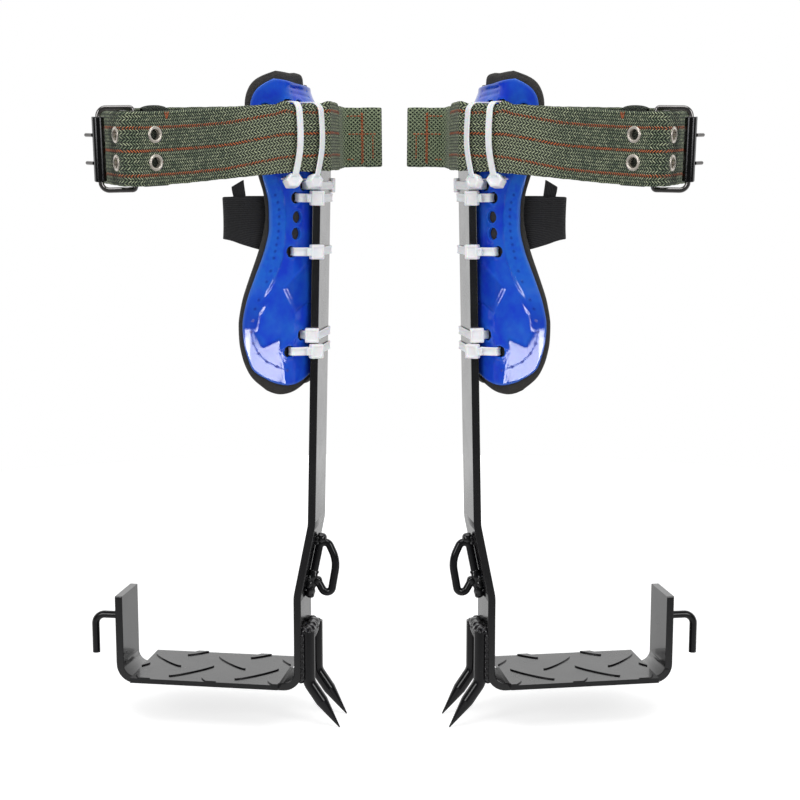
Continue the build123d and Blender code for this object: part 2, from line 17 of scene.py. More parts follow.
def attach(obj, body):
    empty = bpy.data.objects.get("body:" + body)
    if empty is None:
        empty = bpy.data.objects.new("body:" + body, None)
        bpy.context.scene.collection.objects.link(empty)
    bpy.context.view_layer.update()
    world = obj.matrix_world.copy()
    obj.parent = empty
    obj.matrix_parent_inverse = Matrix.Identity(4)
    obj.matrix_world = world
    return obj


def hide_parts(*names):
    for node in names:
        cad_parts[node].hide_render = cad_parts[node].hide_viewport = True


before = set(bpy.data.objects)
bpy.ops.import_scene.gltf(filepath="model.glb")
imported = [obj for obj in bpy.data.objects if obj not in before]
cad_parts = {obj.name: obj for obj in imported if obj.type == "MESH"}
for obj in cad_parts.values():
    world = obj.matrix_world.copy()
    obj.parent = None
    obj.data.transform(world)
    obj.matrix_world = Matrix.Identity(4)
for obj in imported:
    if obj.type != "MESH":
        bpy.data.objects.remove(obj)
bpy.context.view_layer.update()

# %% [markdown]
# The picture is taken from in front, a little above the belt, with a long lens. A camera is
# easiest to match when its place and tilt come from a measured fit, so they are plain numbers
# here; the small shift only moves the frame, as a technical camera does.

# %% Camera
CAMERA_PLACE = (0.0, -1.1225, 0.42868)
CAMERA_TILT = 8.39
LENS = 67.5
FRAME_SHIFT = 5.5 / 800

scene = bpy.context.scene
scene.view_settings.view_transform = "Standard"
camera_data = bpy.data.cameras.new("camera")
camera_data.lens = LENS
camera_data.sensor_width = 36.0
camera_data.shift_x = FRAME_SHIFT
camera = bpy.data.objects.new("camera", camera_data)
camera.location = CAMERA_PLACE
camera.rotation_euler = (math.radians(90 - CAMERA_TILT), 0, 0)
scene.collection.objects.link(camera)
scene.camera = camera
print("camera at", CAMERA_PLACE)

# %% [markdown]
# Materials are small node trees. Writing each node by hand takes many lines, so a few helpers
# do the wiring. They make a node and fill its sockets, do arithmetic, mix colours, stretch a
# value to a new range, start a finish with its shader, and feed that shader.

# %% Helpers for node trees
def add_node(tree, kind, settings=None, inputs=None):
    node = tree.nodes.new("ShaderNode" + kind)
    for key, value in (settings or {}).items():
        setattr(node, key, value)
    for key, value in (inputs or {}).items():
        if isinstance(value, bpy.types.NodeSocket):
            tree.links.new(value, node.inputs[key])
        else:
            node.inputs[key].default_value = value
    return node


def calc(tree, operation, *values):
    inputs = {place: value for place, value in enumerate(values)}
    return add_node(tree, "Math", {"operation": operation}, inputs).outputs[0]


def mixed(tree, factor, first, second):
    node = add_node(tree, "Mix", {"data_type": "RGBA"}, {"Factor": factor})
    for socket, value in ((node.inputs[6], first), (node.inputs[7], second)):
        if isinstance(value, tuple):
            socket.default_value = (*value, 1)
        else:
            tree.links.new(value, socket)
    return node.outputs[2]


def spread(tree, value, low, high, to_low, to_high, eased=False):
    """Stretch a value from one range to another, with soft ends where it is eased."""
    settings = {"interpolation_type": "SMOOTHSTEP"} if eased else None
    inputs = {"Value": value, "From Min": low, "From Max": high,
              "To Min": to_low, "To Max": to_high}
    return add_node(tree, "MapRange", settings, inputs).outputs[0]


def feed(tree, shader, **sockets):
    for key, value in sockets.items():
        tree.links.new(value, shader.inputs[key.replace("_", " ")])


def new_finish(name, **sockets):
    finish = bpy.data.materials.new(name)
    finish.use_nodes = True
    tree = finish.node_tree
    shader = tree.nodes["Principled BSDF"]
    for key, value in sockets.items():
        shader.inputs[key.replace("_", " ")].default_value = value
    return finish, tree, shader


def object_place(tree):
    return add_node(tree, "TexCoord").outputs["Object"]


print("node helpers ready")

# %% [markdown]
# A product picture on white has a white floor and backdrop and very soft light. The world is
# white to the camera and dimmer as a light source. In reflections it is white behind the pair
# and dark on the camera's side, which is what gives chrome and black paint their dark sides.

# %% Studio
WORLD_LIGHT = 0.42
STUDIO_FRONT = 0.1

world = bpy.data.worlds.new("studio")
scene.world = world
world.use_nodes = True
tree = world.node_tree
tree.nodes.clear()
path = add_node(tree, "LightPath")
seen = calc(tree, "MAXIMUM", path.outputs["Is Camera Ray"], path.outputs["Is Transmission Ray"])
looking = add_node(tree, "TexCoord").outputs["Generated"]
depth = add_node(tree, "SeparateXYZ", None, {0: looking}).outputs["Y"]
behind = spread(tree, depth, -0.3, 0.75, STUDIO_FRONT, 1.0, eased=True)
mirrored_level = mixed(tree, path.outputs["Is Glossy Ray"], (WORLD_LIGHT,) * 3, behind)
level = mixed(tree, seen, mirrored_level, (1.0, 1.0, 1.0))
light = add_node(tree, "Background", None, {"Color": level, "Strength": 1.0})
add_node(tree, "OutputWorld", None, {"Surface": light.outputs[0]})
print("world at", WORLD_LIGHT, "as a light,", STUDIO_FRONT, "behind the camera")

# %% [markdown]
# The floor is a plain white disc. It glows more the further out it lies, so it runs into the
# backdrop without a line, and in the middle it still takes the shadow of the pair. Reflections
# find a dark card in its place on the camera's side.

# %% Floor
FLOOR_RADIUS = 1.2
FLOOR_GLOW = 0.62
FLOOR_WHITE = (0.8, 0.8, 0.8)
FLOOR_CARD = (0.05, 0.05, 0.05)
FADE_START = 0.45
FADE_END = 1.1

floor_mesh = bpy.data.meshes.new("floor")
turns = np.linspace(0, 2 * math.pi, 96, endpoint=False)
rim_points = [(FLOOR_RADIUS * math.cos(turn), FLOOR_RADIUS * math.sin(turn), 0) for turn in turns]
floor_mesh.from_pydata(rim_points, [], [tuple(range(len(rim_points)))])
floor = bpy.data.objects.new("floor", floor_mesh)
scene.collection.objects.link(floor)
finish, tree, shader = new_finish("white floor", Roughness=0.9)
place = object_place(tree)
away = add_node(tree, "VectorMath", {"operation": "LENGTH"}, {0: place}).outputs["Value"]
fade = spread(tree, away, FADE_START, FADE_END, FLOOR_GLOW, 1.0, eased=True)
path = add_node(tree, "LightPath")
seen = calc(tree, "MAXIMUM", path.outputs["Is Camera Ray"], path.outputs["Is Transmission Ray"])
depth = add_node(tree, "SeparateXYZ", None, {0: place}).outputs["Y"]
front = spread(tree, depth, -0.45, 0.25, STUDIO_FRONT, 1.0, eased=True)
mirrored = calc(tree, "MULTIPLY", path.outputs["Is Glossy Ray"], front)
seen = calc(tree, "MAXIMUM", seen, mirrored)
glow = calc(tree, "MULTIPLY", seen, fade)
white = mixed(tree, path.outputs["Is Glossy Ray"], FLOOR_WHITE, FLOOR_CARD)
shader.inputs["Emission Color"].default_value = (1, 1, 1, 1)
feed(tree, shader, Base_Color=white, Emission_Strength=glow)
floor_mesh.materials.append(finish)
print("floor", 2 * FLOOR_RADIUS, "m wide")

# %% [markdown]
# A large softbox overhead lights the tread and the tops of the guards, and one on each side in
# front lights the round steel. Large lamps close by make soft shadows and long, calm highlights.

# %% Lamps
def softbox(name, place, aim, width, height, power):
    data = bpy.data.lights.new(name, "AREA")
    data.shape = "RECTANGLE"
    data.size = width
    data.size_y = height
    data.energy = power
    lamp = bpy.data.objects.new(name, data)
    lamp.location = place
    lamp.rotation_euler = (Vector(aim) - Vector(place)).to_track_quat("-Z", "Y").to_euler()
    scene.collection.objects.link(lamp)
    return lamp


OBJECT_MIDDLE = (0, 0, 0.3)
softbox("overhead softbox", (0, -0.5, 1.6), OBJECT_MIDDLE, width=1.4, height=1.0, power=9.0)
side_lamps = [softbox("side softbox", (side * 1.1, -1.1, 0.75), OBJECT_MIDDLE,
                      width=0.6, height=0.9, power=6.0)
              for side in (-1, 1)]
print("lamps:", len(bpy.data.lights))

# %% [markdown]
# One climber is drawn in its own millimetres, with x from the outer wall to the shank, y away
# from the viewer and z = 0 on the tread. The pair is a mirror image, so each piece is worked
# out once and then placed twice: turned a little and moved for the left, mirrored for the right.

# %% Placing a piece on both climbers
MILLIMETRE = 0.001
PLACE = np.array([-76.1, 32.5, 39.28])
TOE_IN = math.radians(-8.5)
SIDES = {"left": (1, 1, 1), "right": (-1, 1, 1)}


def in_row(points):
    points = np.asarray(points, float)
    cos, sin = math.cos(TOE_IN), math.sin(TOE_IN)
    x = points[:, 0] * cos - points[:, 1] * sin
    y = points[:, 0] * sin + points[:, 1] * cos
    return (np.stack([x, y, points[:, 2]], 1) + PLACE) * MILLIMETRE


def tidy_normals(mesh):
    form = bmesh.new()
    form.from_mesh(mesh)
    bmesh.ops.recalc_face_normals(form, faces=form.faces)
    form.to_mesh(mesh)
    form.free()


def make_pair(name, points, faces, finishes, replaces=(), uv=None, marks=None,
              which=None, body="climber", sharp=35):
    """The same piece on the left and, mirrored, on the right climber."""
    placed = in_row(points)
    made = []
    for side, mirror in SIDES.items():
        mesh = bpy.data.meshes.new(f"{side}_{name}")
        mesh.from_pydata((placed * mirror).tolist(), [], [list(face) for face in faces])
        for finish in finishes:
            mesh.materials.append(finish)
        if which is not None:
            mesh.polygons.foreach_set("material_index", np.asarray(which, np.int32))
        if uv is not None:
            layer = mesh.uv_layers.new(name="weave")
            corners = np.zeros(len(mesh.loops), np.int32)
            mesh.loops.foreach_get("vertex_index", corners)
            layer.uv.foreach_set("vector", np.asarray(uv, np.float32)[corners].ravel())
        for key, values in (marks or {}).items():
            stored = mesh.attributes.new(key, "FLOAT", "POINT")
            stored.data.foreach_set("value", np.asarray(values, np.float32))
        tidy_normals(mesh)
        mesh.shade_smooth()
        mesh.set_sharp_from_angle(angle=math.radians(sharp))
        piece = bpy.data.objects.new(f"{side}_{name}", mesh)
        scene.collection.objects.link(piece)
        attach(piece, f"{side}_{body}")
        if replaces:
            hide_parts(*[f"{side}_{node}" for node in replaces])
        made.append(piece)
    return made


print("a piece at the tread's origin lands at", in_row([(0, 0, 0)])[0])

# %% [markdown]
# A real finish is never one flat colour with one gloss. Three helpers serve all the finishes
# below: one turns a value into colours, one reads a noise and one turns a height into a bump.

# %% Helpers for finishes
def ramp(tree, factor, stops):
    node = add_node(tree, "ValToRGB", None, {"Fac": factor})
    points = node.color_ramp.elements
    while len(points) < len(stops):
        points.new(0.5)
    for point, (place, colour) in zip(points, stops):
        point.position = place
        point.color = (*colour, 1) if isinstance(colour, tuple) else (colour, colour, colour, 1)
    return node.outputs["Color"]


def grain(tree, place, scale, detail=2.0, roughness=0.5):
    inputs = {"Vector": place, "Scale": scale, "Detail": detail, "Roughness": roughness}
    return add_node(tree, "TexNoise", None, inputs).outputs["Fac"]


def bumped(tree, shader, height, distance, strength=1.0):
    inputs = {"Height": height, "Distance": distance, "Strength": strength}
    feed(tree, shader, Normal=add_node(tree, "Bump", None, inputs).outputs["Normal"])


print("finish helpers ready")

# %% [markdown]
# The steel is dipped or sprayed in gloss black paint. Thick gloss paint is never quite flat:
# it has a fine orange peel, dust and thin spots, and it goes dull where boots rub. The bump
# makes the peel, a slow noise changes the gloss, and small grey specks gather in patches where
# that slow noise is high.

# %% Black paint
PAINT_BLACK = (0.006, 0.006, 0.007)
PAINT_WORN = (0.035, 0.035, 0.037)


def paint(name, low_gloss, high_gloss, peel, shine=0.5):
    finish, tree, shader = new_finish(name, Coat_Weight=shine * 0.7, Coat_Roughness=0.08,
                                      Specular_IOR_Level=shine)
    place = object_place(tree)
    slow = grain(tree, place, 45.0, 4.0, 0.6)
    specks = grain(tree, place, 900.0, 2.0)
    worn = ramp(tree, specks, [(0.6, 0.0), (0.72, 1.0)])
    worn = calc(tree, "MULTIPLY", worn, ramp(tree, slow, [(0.5, 0.0), (0.7, 0.5)]))
    feed(tree, shader, Base_Color=mixed(tree, worn, PAINT_BLACK, PAINT_WORN),
         Roughness=spread(tree, slow, 0.3, 0.7, low_gloss, high_gloss))
    skin = calc(tree, "ADD", grain(tree, place, 420.0, 2.0), calc(tree, "MULTIPLY", specks, 0.3))
    bumped(tree, shader, skin, 0.0002, peel)
    return finish


bar_paint = paint("gloss black paint", 0.2, 0.28, peel=0.07, shine=0.66)
tread_paint = paint("tread black paint", 0.18, 0.28, peel=0.2)
rod_paint = paint("rod black paint", 0.06, 0.13, peel=0.25, shine=0.38)
weld_paint = paint("weld black paint", 0.05, 0.12, peel=0.4, shine=0.6)
print("paints made")

# %% [markdown]
# The buckle is dark chrome wire with a black sleeve for the prongs, and the eyelets are pressed
# from nickel plated brass. Plating is metal through and through for light, so Metallic is one;
# only the handled nickel has a thin dull film, so it counts as metal in part. The small
# scratches run in the gloss rather than in the colour.

# %% Plated metal
def scaled(colour, gain):
    return tuple(part * gain for part in colour)


def plating(name, colour, low_gloss, high_gloss, scratch, metal=1.0):
    finish, tree, shader = new_finish(name, Metallic=metal)
    place = object_place(tree)
    cloud = grain(tree, place, 160.0, 3.0)
    fine = grain(tree, place, 1500.0, 2.0)
    feed(tree, shader, Base_Color=mixed(tree, cloud, colour, scaled(colour, 0.72)),
         Roughness=spread(tree, fine, 0.35, 0.7, low_gloss, high_gloss))
    bumped(tree, shader, fine, 0.0001, scratch)
    return finish


dark_chrome = plating("dark chrome", (0.30, 0.29, 0.285), 0.1, 0.24, scratch=0.12)
black_chrome = plating("black chrome", (0.06, 0.06, 0.062), 0.08, 0.18, scratch=0.08)
nickel = plating("nickel", (0.86, 0.79, 0.70), 0.18, 0.34, scratch=0.1, metal=0.6)
print("plated metal made")

# %% [markdown]
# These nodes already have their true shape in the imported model, so they only take a finish
# in their material slot. A thick coat of paint rounds every edge, so the bar and the tread
# plate also get a narrow bevel, which draws the fine light lines along their edges.

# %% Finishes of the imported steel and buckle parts
CAD_FINISHES = {
    "stirrup_bar": bar_paint,
    "tread_plate": tread_paint,
    "spike_front": rod_paint,
    "spike_rear": rod_paint,
    "strap_hook": rod_paint,
    "ankle_loop": rod_paint,
    "buckle_frame": dark_chrome,
    "prong_upper": dark_chrome,
    "prong_lower": dark_chrome,
}
EDGE_BEVEL = 0.0006

for side in SIDES:
    for node, finish in CAD_FINISHES.items():
        for material_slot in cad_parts[f"{side}_{node}"].material_slots:
            material_slot.material = finish
    for node in ("stirrup_bar", "tread_plate"):
        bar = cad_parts[f"{side}_{node}"]
        weld = bar.modifiers.new("join corners", "WELD")
        weld.merge_threshold = 0.00001
        soften = bar.modifiers.new("soft edges", "BEVEL")
        soften.width = EDGE_BEVEL
        soften.segments = 2
        soften.limit_method = "ANGLE"
        soften.angle_limit = math.radians(40)
print("finished", len(CAD_FINISHES), "nodes on each side")

# %% [markdown]
# The belt is heavy olive webbing in herringbone: narrow lengthwise bands in which every yarn
# slants, one band one way and the next the other way, with three orange marker yarns. The
# pattern only needs the distance along and across the strap, so it is arithmetic on the UV
# map: which band, which yarn in it, and where across that yarn. The same numbers drive the
# bump and a painted shade and highlight: dark in the gaps between yarns, lighter on their
# crowns. Where the belt is pulled tight towards the shank its yarns spread, and a mark stored
# on the mesh says where a painted highlight lightens the belt there.

# %% Herringbone webbing
# Dark green of the painted shade in the gaps between yarns.
GREEN_GAP_SHADE = (0.008, 0.014, 0.010)
GREEN_MIDDLE = (0.062, 0.088, 0.050)
GREEN_LIGHT = (0.58, 0.64, 0.40)
ORANGE = (0.64, 0.155, 0.04)
# Share of the painted highlight that lightens the belt towards the crease.
CREASE_HIGHLIGHT_SHARE = 0.55
MARKER_ROWS = (7.5, 24.0, 39.5)
HERRINGBONE_BAND = 2.3
YARN_PITCH = 1.8


def mark(tree, name):
    """A number stored on the points of the mesh."""
    return add_node(tree, "Attribute", {"attribute_name": name}).outputs["Fac"]


def woven_place(tree, scale, reach):
    """Place along and across the strap, shaken so that no yarn runs dead straight."""
    uv = add_node(tree, "UVMap", {"uv_map": "weave"}).outputs[0]
    wobble = add_node(tree, "TexNoise", None, {"Vector": uv, "Scale": scale, "Detail": 2.0})
    inputs = {0: wobble.outputs["Color"], "Scale": reach}
    shaken = add_node(tree, "VectorMath", {"operation": "SCALE"}, inputs).outputs[0]
    return add_node(tree, "VectorMath", {"operation": "ADD"}, {0: uv, 1: shaken}).outputs[0]


def webbing(name, gain, marker_rows):
    finish, tree, shader = new_finish(name, Roughness=0.85, Sheen_Weight=0.1, Sheen_Roughness=0.5)
    uv = woven_place(tree, 0.22, 0.7)
    parts = add_node(tree, "SeparateXYZ", None, {0: uv}).outputs
    along, across = parts["X"], parts["Y"]
    lane = calc(tree, "DIVIDE", across, HERRINGBONE_BAND)
    number = calc(tree, "FLOOR", lane)
    within = calc(tree, "SUBTRACT", lane, number)
    turned = calc(tree, "MULTIPLY", calc(tree, "PINGPONG", lane, 1.0), HERRINGBONE_BAND * 0.9)
    yarn_line = calc(tree, "DIVIDE", calc(tree, "ADD", along, turned), YARN_PITCH)
    yarn = calc(tree, "FLOOR", yarn_line)
    yarn_share = calc(tree, "SUBTRACT", yarn_line, yarn)
    round_yarn = calc(tree, "SINE", calc(tree, "MULTIPLY", yarn_share, math.pi))
    round_band = calc(tree, "SINE", calc(tree, "MULTIPLY", within, math.pi))
    height = calc(tree, "MULTIPLY", round_yarn, calc(tree, "POWER", round_band, 0.18))
    key = add_node(tree, "CombineXYZ", None, {"X": number, "Y": yarn}).outputs[0]
    dice = add_node(tree, "TexWhiteNoise", {"noise_dimensions": "3D"}, {"Vector": key})
    chance = dice.outputs["Value"]
    fibres = grain(tree, uv, 3.0, 3.0, 0.7)
    # The yarn height also lightens the crown of each yarn: a painted highlight.
    tone = calc(tree, "MULTIPLY", chance, 0.22)
    for part in (fibres, height):
        tone = calc(tree, "ADD", tone, calc(tree, "MULTIPLY", part, 0.4))
    light, middle = scaled(GREEN_LIGHT, gain), scaled(GREEN_MIDDLE, gain)
    yarn_colour = ramp(tree, tone, [(0.38, middle), (0.58, scaled(middle, 2.2)), (0.84, light)])
    # Painted highlight: towards the crease the yarns are mixed towards the light yarn colour.
    crease_highlight = calc(tree, "MULTIPLY", mark(tree, "crease_highlight"), CREASE_HIGHLIGHT_SHARE)
    yarn_colour = mixed(tree, crease_highlight, yarn_colour, light)
    marker = 0.0
    for row in marker_rows:
        off = calc(tree, "ABSOLUTE", calc(tree, "SUBTRACT", across, row))
        marker = calc(tree, "MAXIMUM", marker, spread(tree, off, 0.85, 1.15, 1.0, 0.0))
    dash = ramp(tree, calc(tree, "ADD", chance, calc(tree, "MULTIPLY", fibres, 0.4)),
                [(0.28, 0.45), (0.5, 1.0)])
    marked = calc(tree, "MULTIPLY", marker, dash)
    orange = ramp(tree, fibres, [(0.3, scaled(ORANGE, 0.6)), (0.65, scaled(ORANGE, 1.35))])
    yarn_colour = mixed(tree, marked, yarn_colour, orange)
    # Painted shade: the gaps between the yarns take the dark gap colour.
    shade = ramp(tree, height, [(0.58, 0.0), (0.88, 1.0)])
    feed(tree, shader, Base_Color=mixed(tree, shade, GREEN_GAP_SHADE, yarn_colour))
    bumped(tree, shader, height, 0.0011, 0.85)
    return finish


belt_webbing = webbing("green webbing", 1.0, MARKER_ROWS)
keeper_webbing = webbing("dark keeper webbing", 0.2, ())
print("webbing made")

# %% [markdown]
# At the shank the belt ends in a short sewn tongue of the same yarn in an open basket weave,
# where a painted shade darkens the gaps between the crossing yarns in a diamond grid.

# %% Basket weave of the tongue
GAP_PITCH = 3.3


def ridges(tree, value, pitch):
    """A row of rounded ridges at this pitch: a sine wave folded upward."""
    turned = calc(tree, "MULTIPLY", value, math.pi / pitch)
    return calc(tree, "ABSOLUTE", calc(tree, "SINE", turned))


def basket_weave(name):
    finish, tree, shader = new_finish(name, Roughness=0.88, Sheen_Weight=0.15, Sheen_Roughness=0.5)
    uv = woven_place(tree, 0.3, 0.8)
    parts = add_node(tree, "SeparateXYZ", None, {0: uv}).outputs
    over = ridges(tree, calc(tree, "ADD", parts["X"], parts["Y"]), GAP_PITCH)
    under = ridges(tree, calc(tree, "SUBTRACT", parts["X"], parts["Y"]), GAP_PITCH)
    height = calc(tree, "MAXIMUM", over, under)
    fibres = grain(tree, uv, 3.2, 3.0, 0.7)
    # The tone follows the yarn height: a painted highlight on the crowns of the yarns.
    tone = calc(tree, "MULTIPLY", fibres, calc(tree, "ADD", height, 0.15))
    shades = [(0.3, GREEN_MIDDLE), (0.5, scaled(GREEN_MIDDLE, 2.0)), (0.72, GREEN_LIGHT)]
    yarn_colour = ramp(tree, tone, shades)
    # Painted shade in the gaps between the yarns.
    shade = ramp(tree, height, [(0.62, 0.0), (0.84, 1.0)])
    feed(tree, shader, Base_Color=mixed(tree, shade, GREEN_GAP_SHADE, yarn_colour))
    bumped(tree, shader, height, 0.0012, 0.8)
    return finish


tongue_webbing = basket_weave("basket webbing")
print("basket weave made")

# %% [markdown]
# Nearly everything soft here is a flat band that follows a line: belt, elastic, ties. A few
# helpers serve them all. One turns corner points into a line of runs and round bends, one
# draws a strap's cross section with its rounded edges, and one joins the sections along the
# line. Each strap also notes how far along and across its points are, for the weave.

# %% Lines and bands
def unit(vector):
    return vector / np.linalg.norm(vector)


def rounded_line(points, radii, step):
    """Line through corner points, each corner bent to its radius."""
    corners = [np.array(point, float) for point in points]
    line = [corners[0]]

    def run_to(end):
        start = line[-1]
        count = max(1, math.ceil(np.linalg.norm(end - start) / step))
        line.extend(start + (end - start) * share for share in np.linspace(0, 1, count + 1)[1:])

    for before, corner, after, radius in zip(corners, corners[1:], corners[2:], radii):
        arriving, leaving = unit(corner - before), unit(after - corner)
        turn = math.acos(max(-1.0, min(1.0, float(arriving @ leaving))))
        start = corner - arriving * radius * math.tan(turn / 2)
        centre = corner + unit(leaving - arriving) * radius / math.cos(turn / 2)
        run_to(start)
        count = max(2, math.ceil(max(turn * radius / step, turn / 0.2)))
        for bend in np.linspace(0, turn, count + 1)[1:]:
            inward = centre + (start - centre) * math.cos(bend)
            line.append(inward + arriving * radius * math.sin(bend))
    run_to(corners[-1])
    return np.array(line)


def distances_along(line):
    steps = np.linalg.norm(np.diff(line, axis=0), axis=1)
    return np.concatenate([[0], np.cumsum(steps)])


def right_hand(line, closed=False):
    """Direction to the right of travel in plan, at each point of a flat line."""
    if closed:
        travel = np.roll(line, -1, axis=0) - np.roll(line, 1, axis=0)
    else:
        travel = np.gradient(line, axis=0)
    travel = travel / np.linalg.norm(travel, axis=1)[:, None]
    return np.stack([travel[:, 1], -travel[:, 0]], 1)


EDGE_STEPS = 3


def strap_section(width, thickness, columns):
    """Closed outline of a strap across its length: rows of across and out."""
    radius = thickness / 2
    flat = width / 2 - radius
    front = [(across, radius) for across in np.linspace(-flat, flat, columns)]
    turns = np.linspace(math.pi / 2, -math.pi / 2, EDGE_STEPS + 2)[1:-1]
    upper = [(flat + radius * math.cos(turn), radius * math.sin(turn)) for turn in turns]
    back = [(across, -radius) for across in np.linspace(flat, -flat, columns)]
    lower = [(-flat - radius * math.cos(turn), -radius * math.sin(turn)) for turn in turns]
    return np.array(front + upper + back + lower)


def band(count, section_size, closed=False):
    """Faces of a tube of sections, with its two ends closed unless it is a ring."""
    faces = []
    last = count if closed else count - 1
    for row in range(last):
        here, there = row * section_size, (row + 1) % count * section_size
        for column in range(section_size):
            beside = (column + 1) % section_size
            faces.append((here + column, here + beside, there + beside, there + column))
    if not closed:
        faces.append(tuple(range(section_size))[::-1])
        end = (count - 1) * section_size
        faces.append(tuple(range(end, end + section_size)))
    return faces


print("helpers for bands ready")

# %% [markdown]
# The belt is one long strap: folded round the heel bar of the buckle, along the shank, into
# the tongue, round the calf and back over the bar as the outer layer. Its route is drawn in
# plan as corners with bend radii, the way a strip would be laid out on a bench. The inner layer
# lies one layer pitch inside the outer one, so the two never touch.

# %% Measures of the belt
def heading(angle):
    return np.array([math.cos(math.radians(angle)), math.sin(math.radians(angle))])


def turned_right(vector):
    return np.array([vector[1], -vector[0]])


BELT_WIDTH = 50.0
BELT_THICKNESS = 2.4
LAYER_PITCH = 5.2
HEEL = np.array([-77.27, -149.63])
TO_BUCKLE, RUN_OUT = heading(233.5), heading(323.5)
DIVE, DIVE_OUT = heading(128.5), heading(218.5)
FOLD_RADIUS = 3.25
OVER_RADIUS = FOLD_RADIUS + LAYER_PITCH
CREASE = HEEL + RUN_OUT * OVER_RADIUS - TO_BUCKLE * 132.5
CORNER = np.array([32.4, -27.0])
FRONT_RUN = unit(CORNER - CREASE)
FRONT_OUT = turned_right(FRONT_RUN)
TONGUE_RUN = heading(8.5)
TONGUE_START = np.array([27.2, 52.0])
TONGUE_LENGTH = 30.5
print("belt", BELT_WIDTH, "mm wide, its layers", LAYER_PITCH, "mm apart")

# %% [markdown]
# The corners are listed in the order of travel, from the end of the inner layer to the loose end
# of the outer one. A corner of the inner layer is the outer one's, moved in along both runs.

# %% Route of the belt
def one_layer_in(corner, before, after):
    return corner - (before + after) * (LAYER_PITCH / (1 + before @ after))


tongue_end = TONGUE_START + TONGUE_RUN * TONGUE_LENGTH
tongue_back = tongue_end + heading(98.5) * 3.1
dive_start = HEEL + DIVE_OUT * OVER_RADIUS
belt_corners = [
    HEEL - TO_BUCKLE * 11.0 - RUN_OUT * (FOLD_RADIUS - 2.2),
    HEEL - TO_BUCKLE * 2.75 - RUN_OUT * FOLD_RADIUS,
    HEEL + TO_BUCKLE * FOLD_RADIUS - RUN_OUT * FOLD_RADIUS,
    HEEL + TO_BUCKLE * FOLD_RADIUS + RUN_OUT * FOLD_RADIUS,
    one_layer_in(CREASE, RUN_OUT, FRONT_OUT),
    one_layer_in(CORNER, FRONT_OUT, np.array([1.0, 0.0])),
    TONGUE_START,
    tongue_end,
    tongue_back,
    tongue_back - TONGUE_RUN * 38.0,
    np.array([-70.0, 70.0]),
    np.array([-146.0, 8.0]),
    dive_start + DIVE * 42.0,
    HEEL + RUN_OUT * OVER_RADIUS + TO_BUCKLE * OVER_RADIUS * math.tan(math.radians(52.5)),
    CREASE,
    CORNER,
    np.array([32.4, 19.0]),
]
belt_bends = [5.0, 3.18, 3.18, 8.0, 5.0, 6.0, 1.5, 1.5, 20.0, 45.0, 45.0, 35.0, 8.45, 13.2, 10.2]
belt_line = rounded_line(belt_corners, belt_bends, 1.25)
belt_along = distances_along(belt_line)


def along_at(spot, late=False):
    """Distance along the belt at the sample nearest to a spot in plan."""
    gaps = np.linalg.norm(belt_line - spot, axis=1)
    if late:
        gaps[: len(gaps) // 2] += 1000
    return belt_along[int(np.argmin(gaps))]


crease_at = along_at(CREASE, late=True)
corner_at = along_at(CORNER, late=True)
heel_at = along_at(HEEL + RUN_OUT * OVER_RADIUS, late=True)
tail_at = belt_along[-1]
tongue_from, tongue_to = along_at(TONGUE_START) - 34.0, along_at(tongue_back - TONGUE_RUN * 27.5)
print("belt", round(tail_at), "mm long, heel", round(heel_at), "crease", round(crease_at))

# %% [markdown]
# The belt hangs a little lower at the buckle and is pulled up between buckle and shank. It is
# easiest to draw it level along its route and to tilt it as a whole. The places of eyelets and
# ties along it are set here too, because several pieces share them.

# %% Frame of the belt
BELT_COLUMNS = 41
BELT_TILT = math.radians(3.5)
BELT_TILT_Y = -30.0
BELT_MIDDLE = 416.5
EYELET_HOLE = 3.6
EYELET_ROWS = (-9.3, 9.3)
EYELET_SPOTS = [
    (HEEL + DIVE_OUT * OVER_RADIUS + DIVE * 8.0, DIVE_OUT),
    (HEEL + RUN_OUT * OVER_RADIUS - TO_BUCKLE * 10.8, RUN_OUT),
]
TIE_STATIONS = (4.8, 22.2)
BELT_LIFT = 3.0
dive_at = along_at(EYELET_SPOTS[0][0], late=True)


def in_belt_frame(points):
    """Belt points, drawn level, to the climber's frame: the belt hangs lower at the buckle."""
    points = np.asarray(points, float)
    cos, sin = math.cos(BELT_TILT), math.sin(BELT_TILT)
    x, y, z = points[:, 0], points[:, 1] - BELT_TILT_Y, points[:, 2]
    return np.stack([x, BELT_TILT_Y + y * cos - z * sin, BELT_MIDDLE + y * sin + z * cos], 1)


def smooth(share):
    share = np.clip(share, 0, 1)
    return share * share * (3 - 2 * share)


def hump(distance, middle, half_width):
    return smooth(1 - np.abs((distance - middle) / half_width))


def belt_lift(spots):
    """How far the strap is lifted up between buckle and shank."""
    x, y = spots[:, 0], spots[:, 1]
    lift = BELT_LIFT * smooth((y + 150) / 105) * (1 - smooth((y + 27) / 75))
    return lift * smooth((x + 120) / 40)


print("first eyelets at", round(dive_at), "mm along the belt")

# %% [markdown]
# The strap's cross section is now carried along the route. Flat webbing would look like sheet
# metal, so the line gets slow waves, the edges wander a little, the strap puckers beside the
# ties, and its upper edge rises where it folds round the guard and at its loose end.

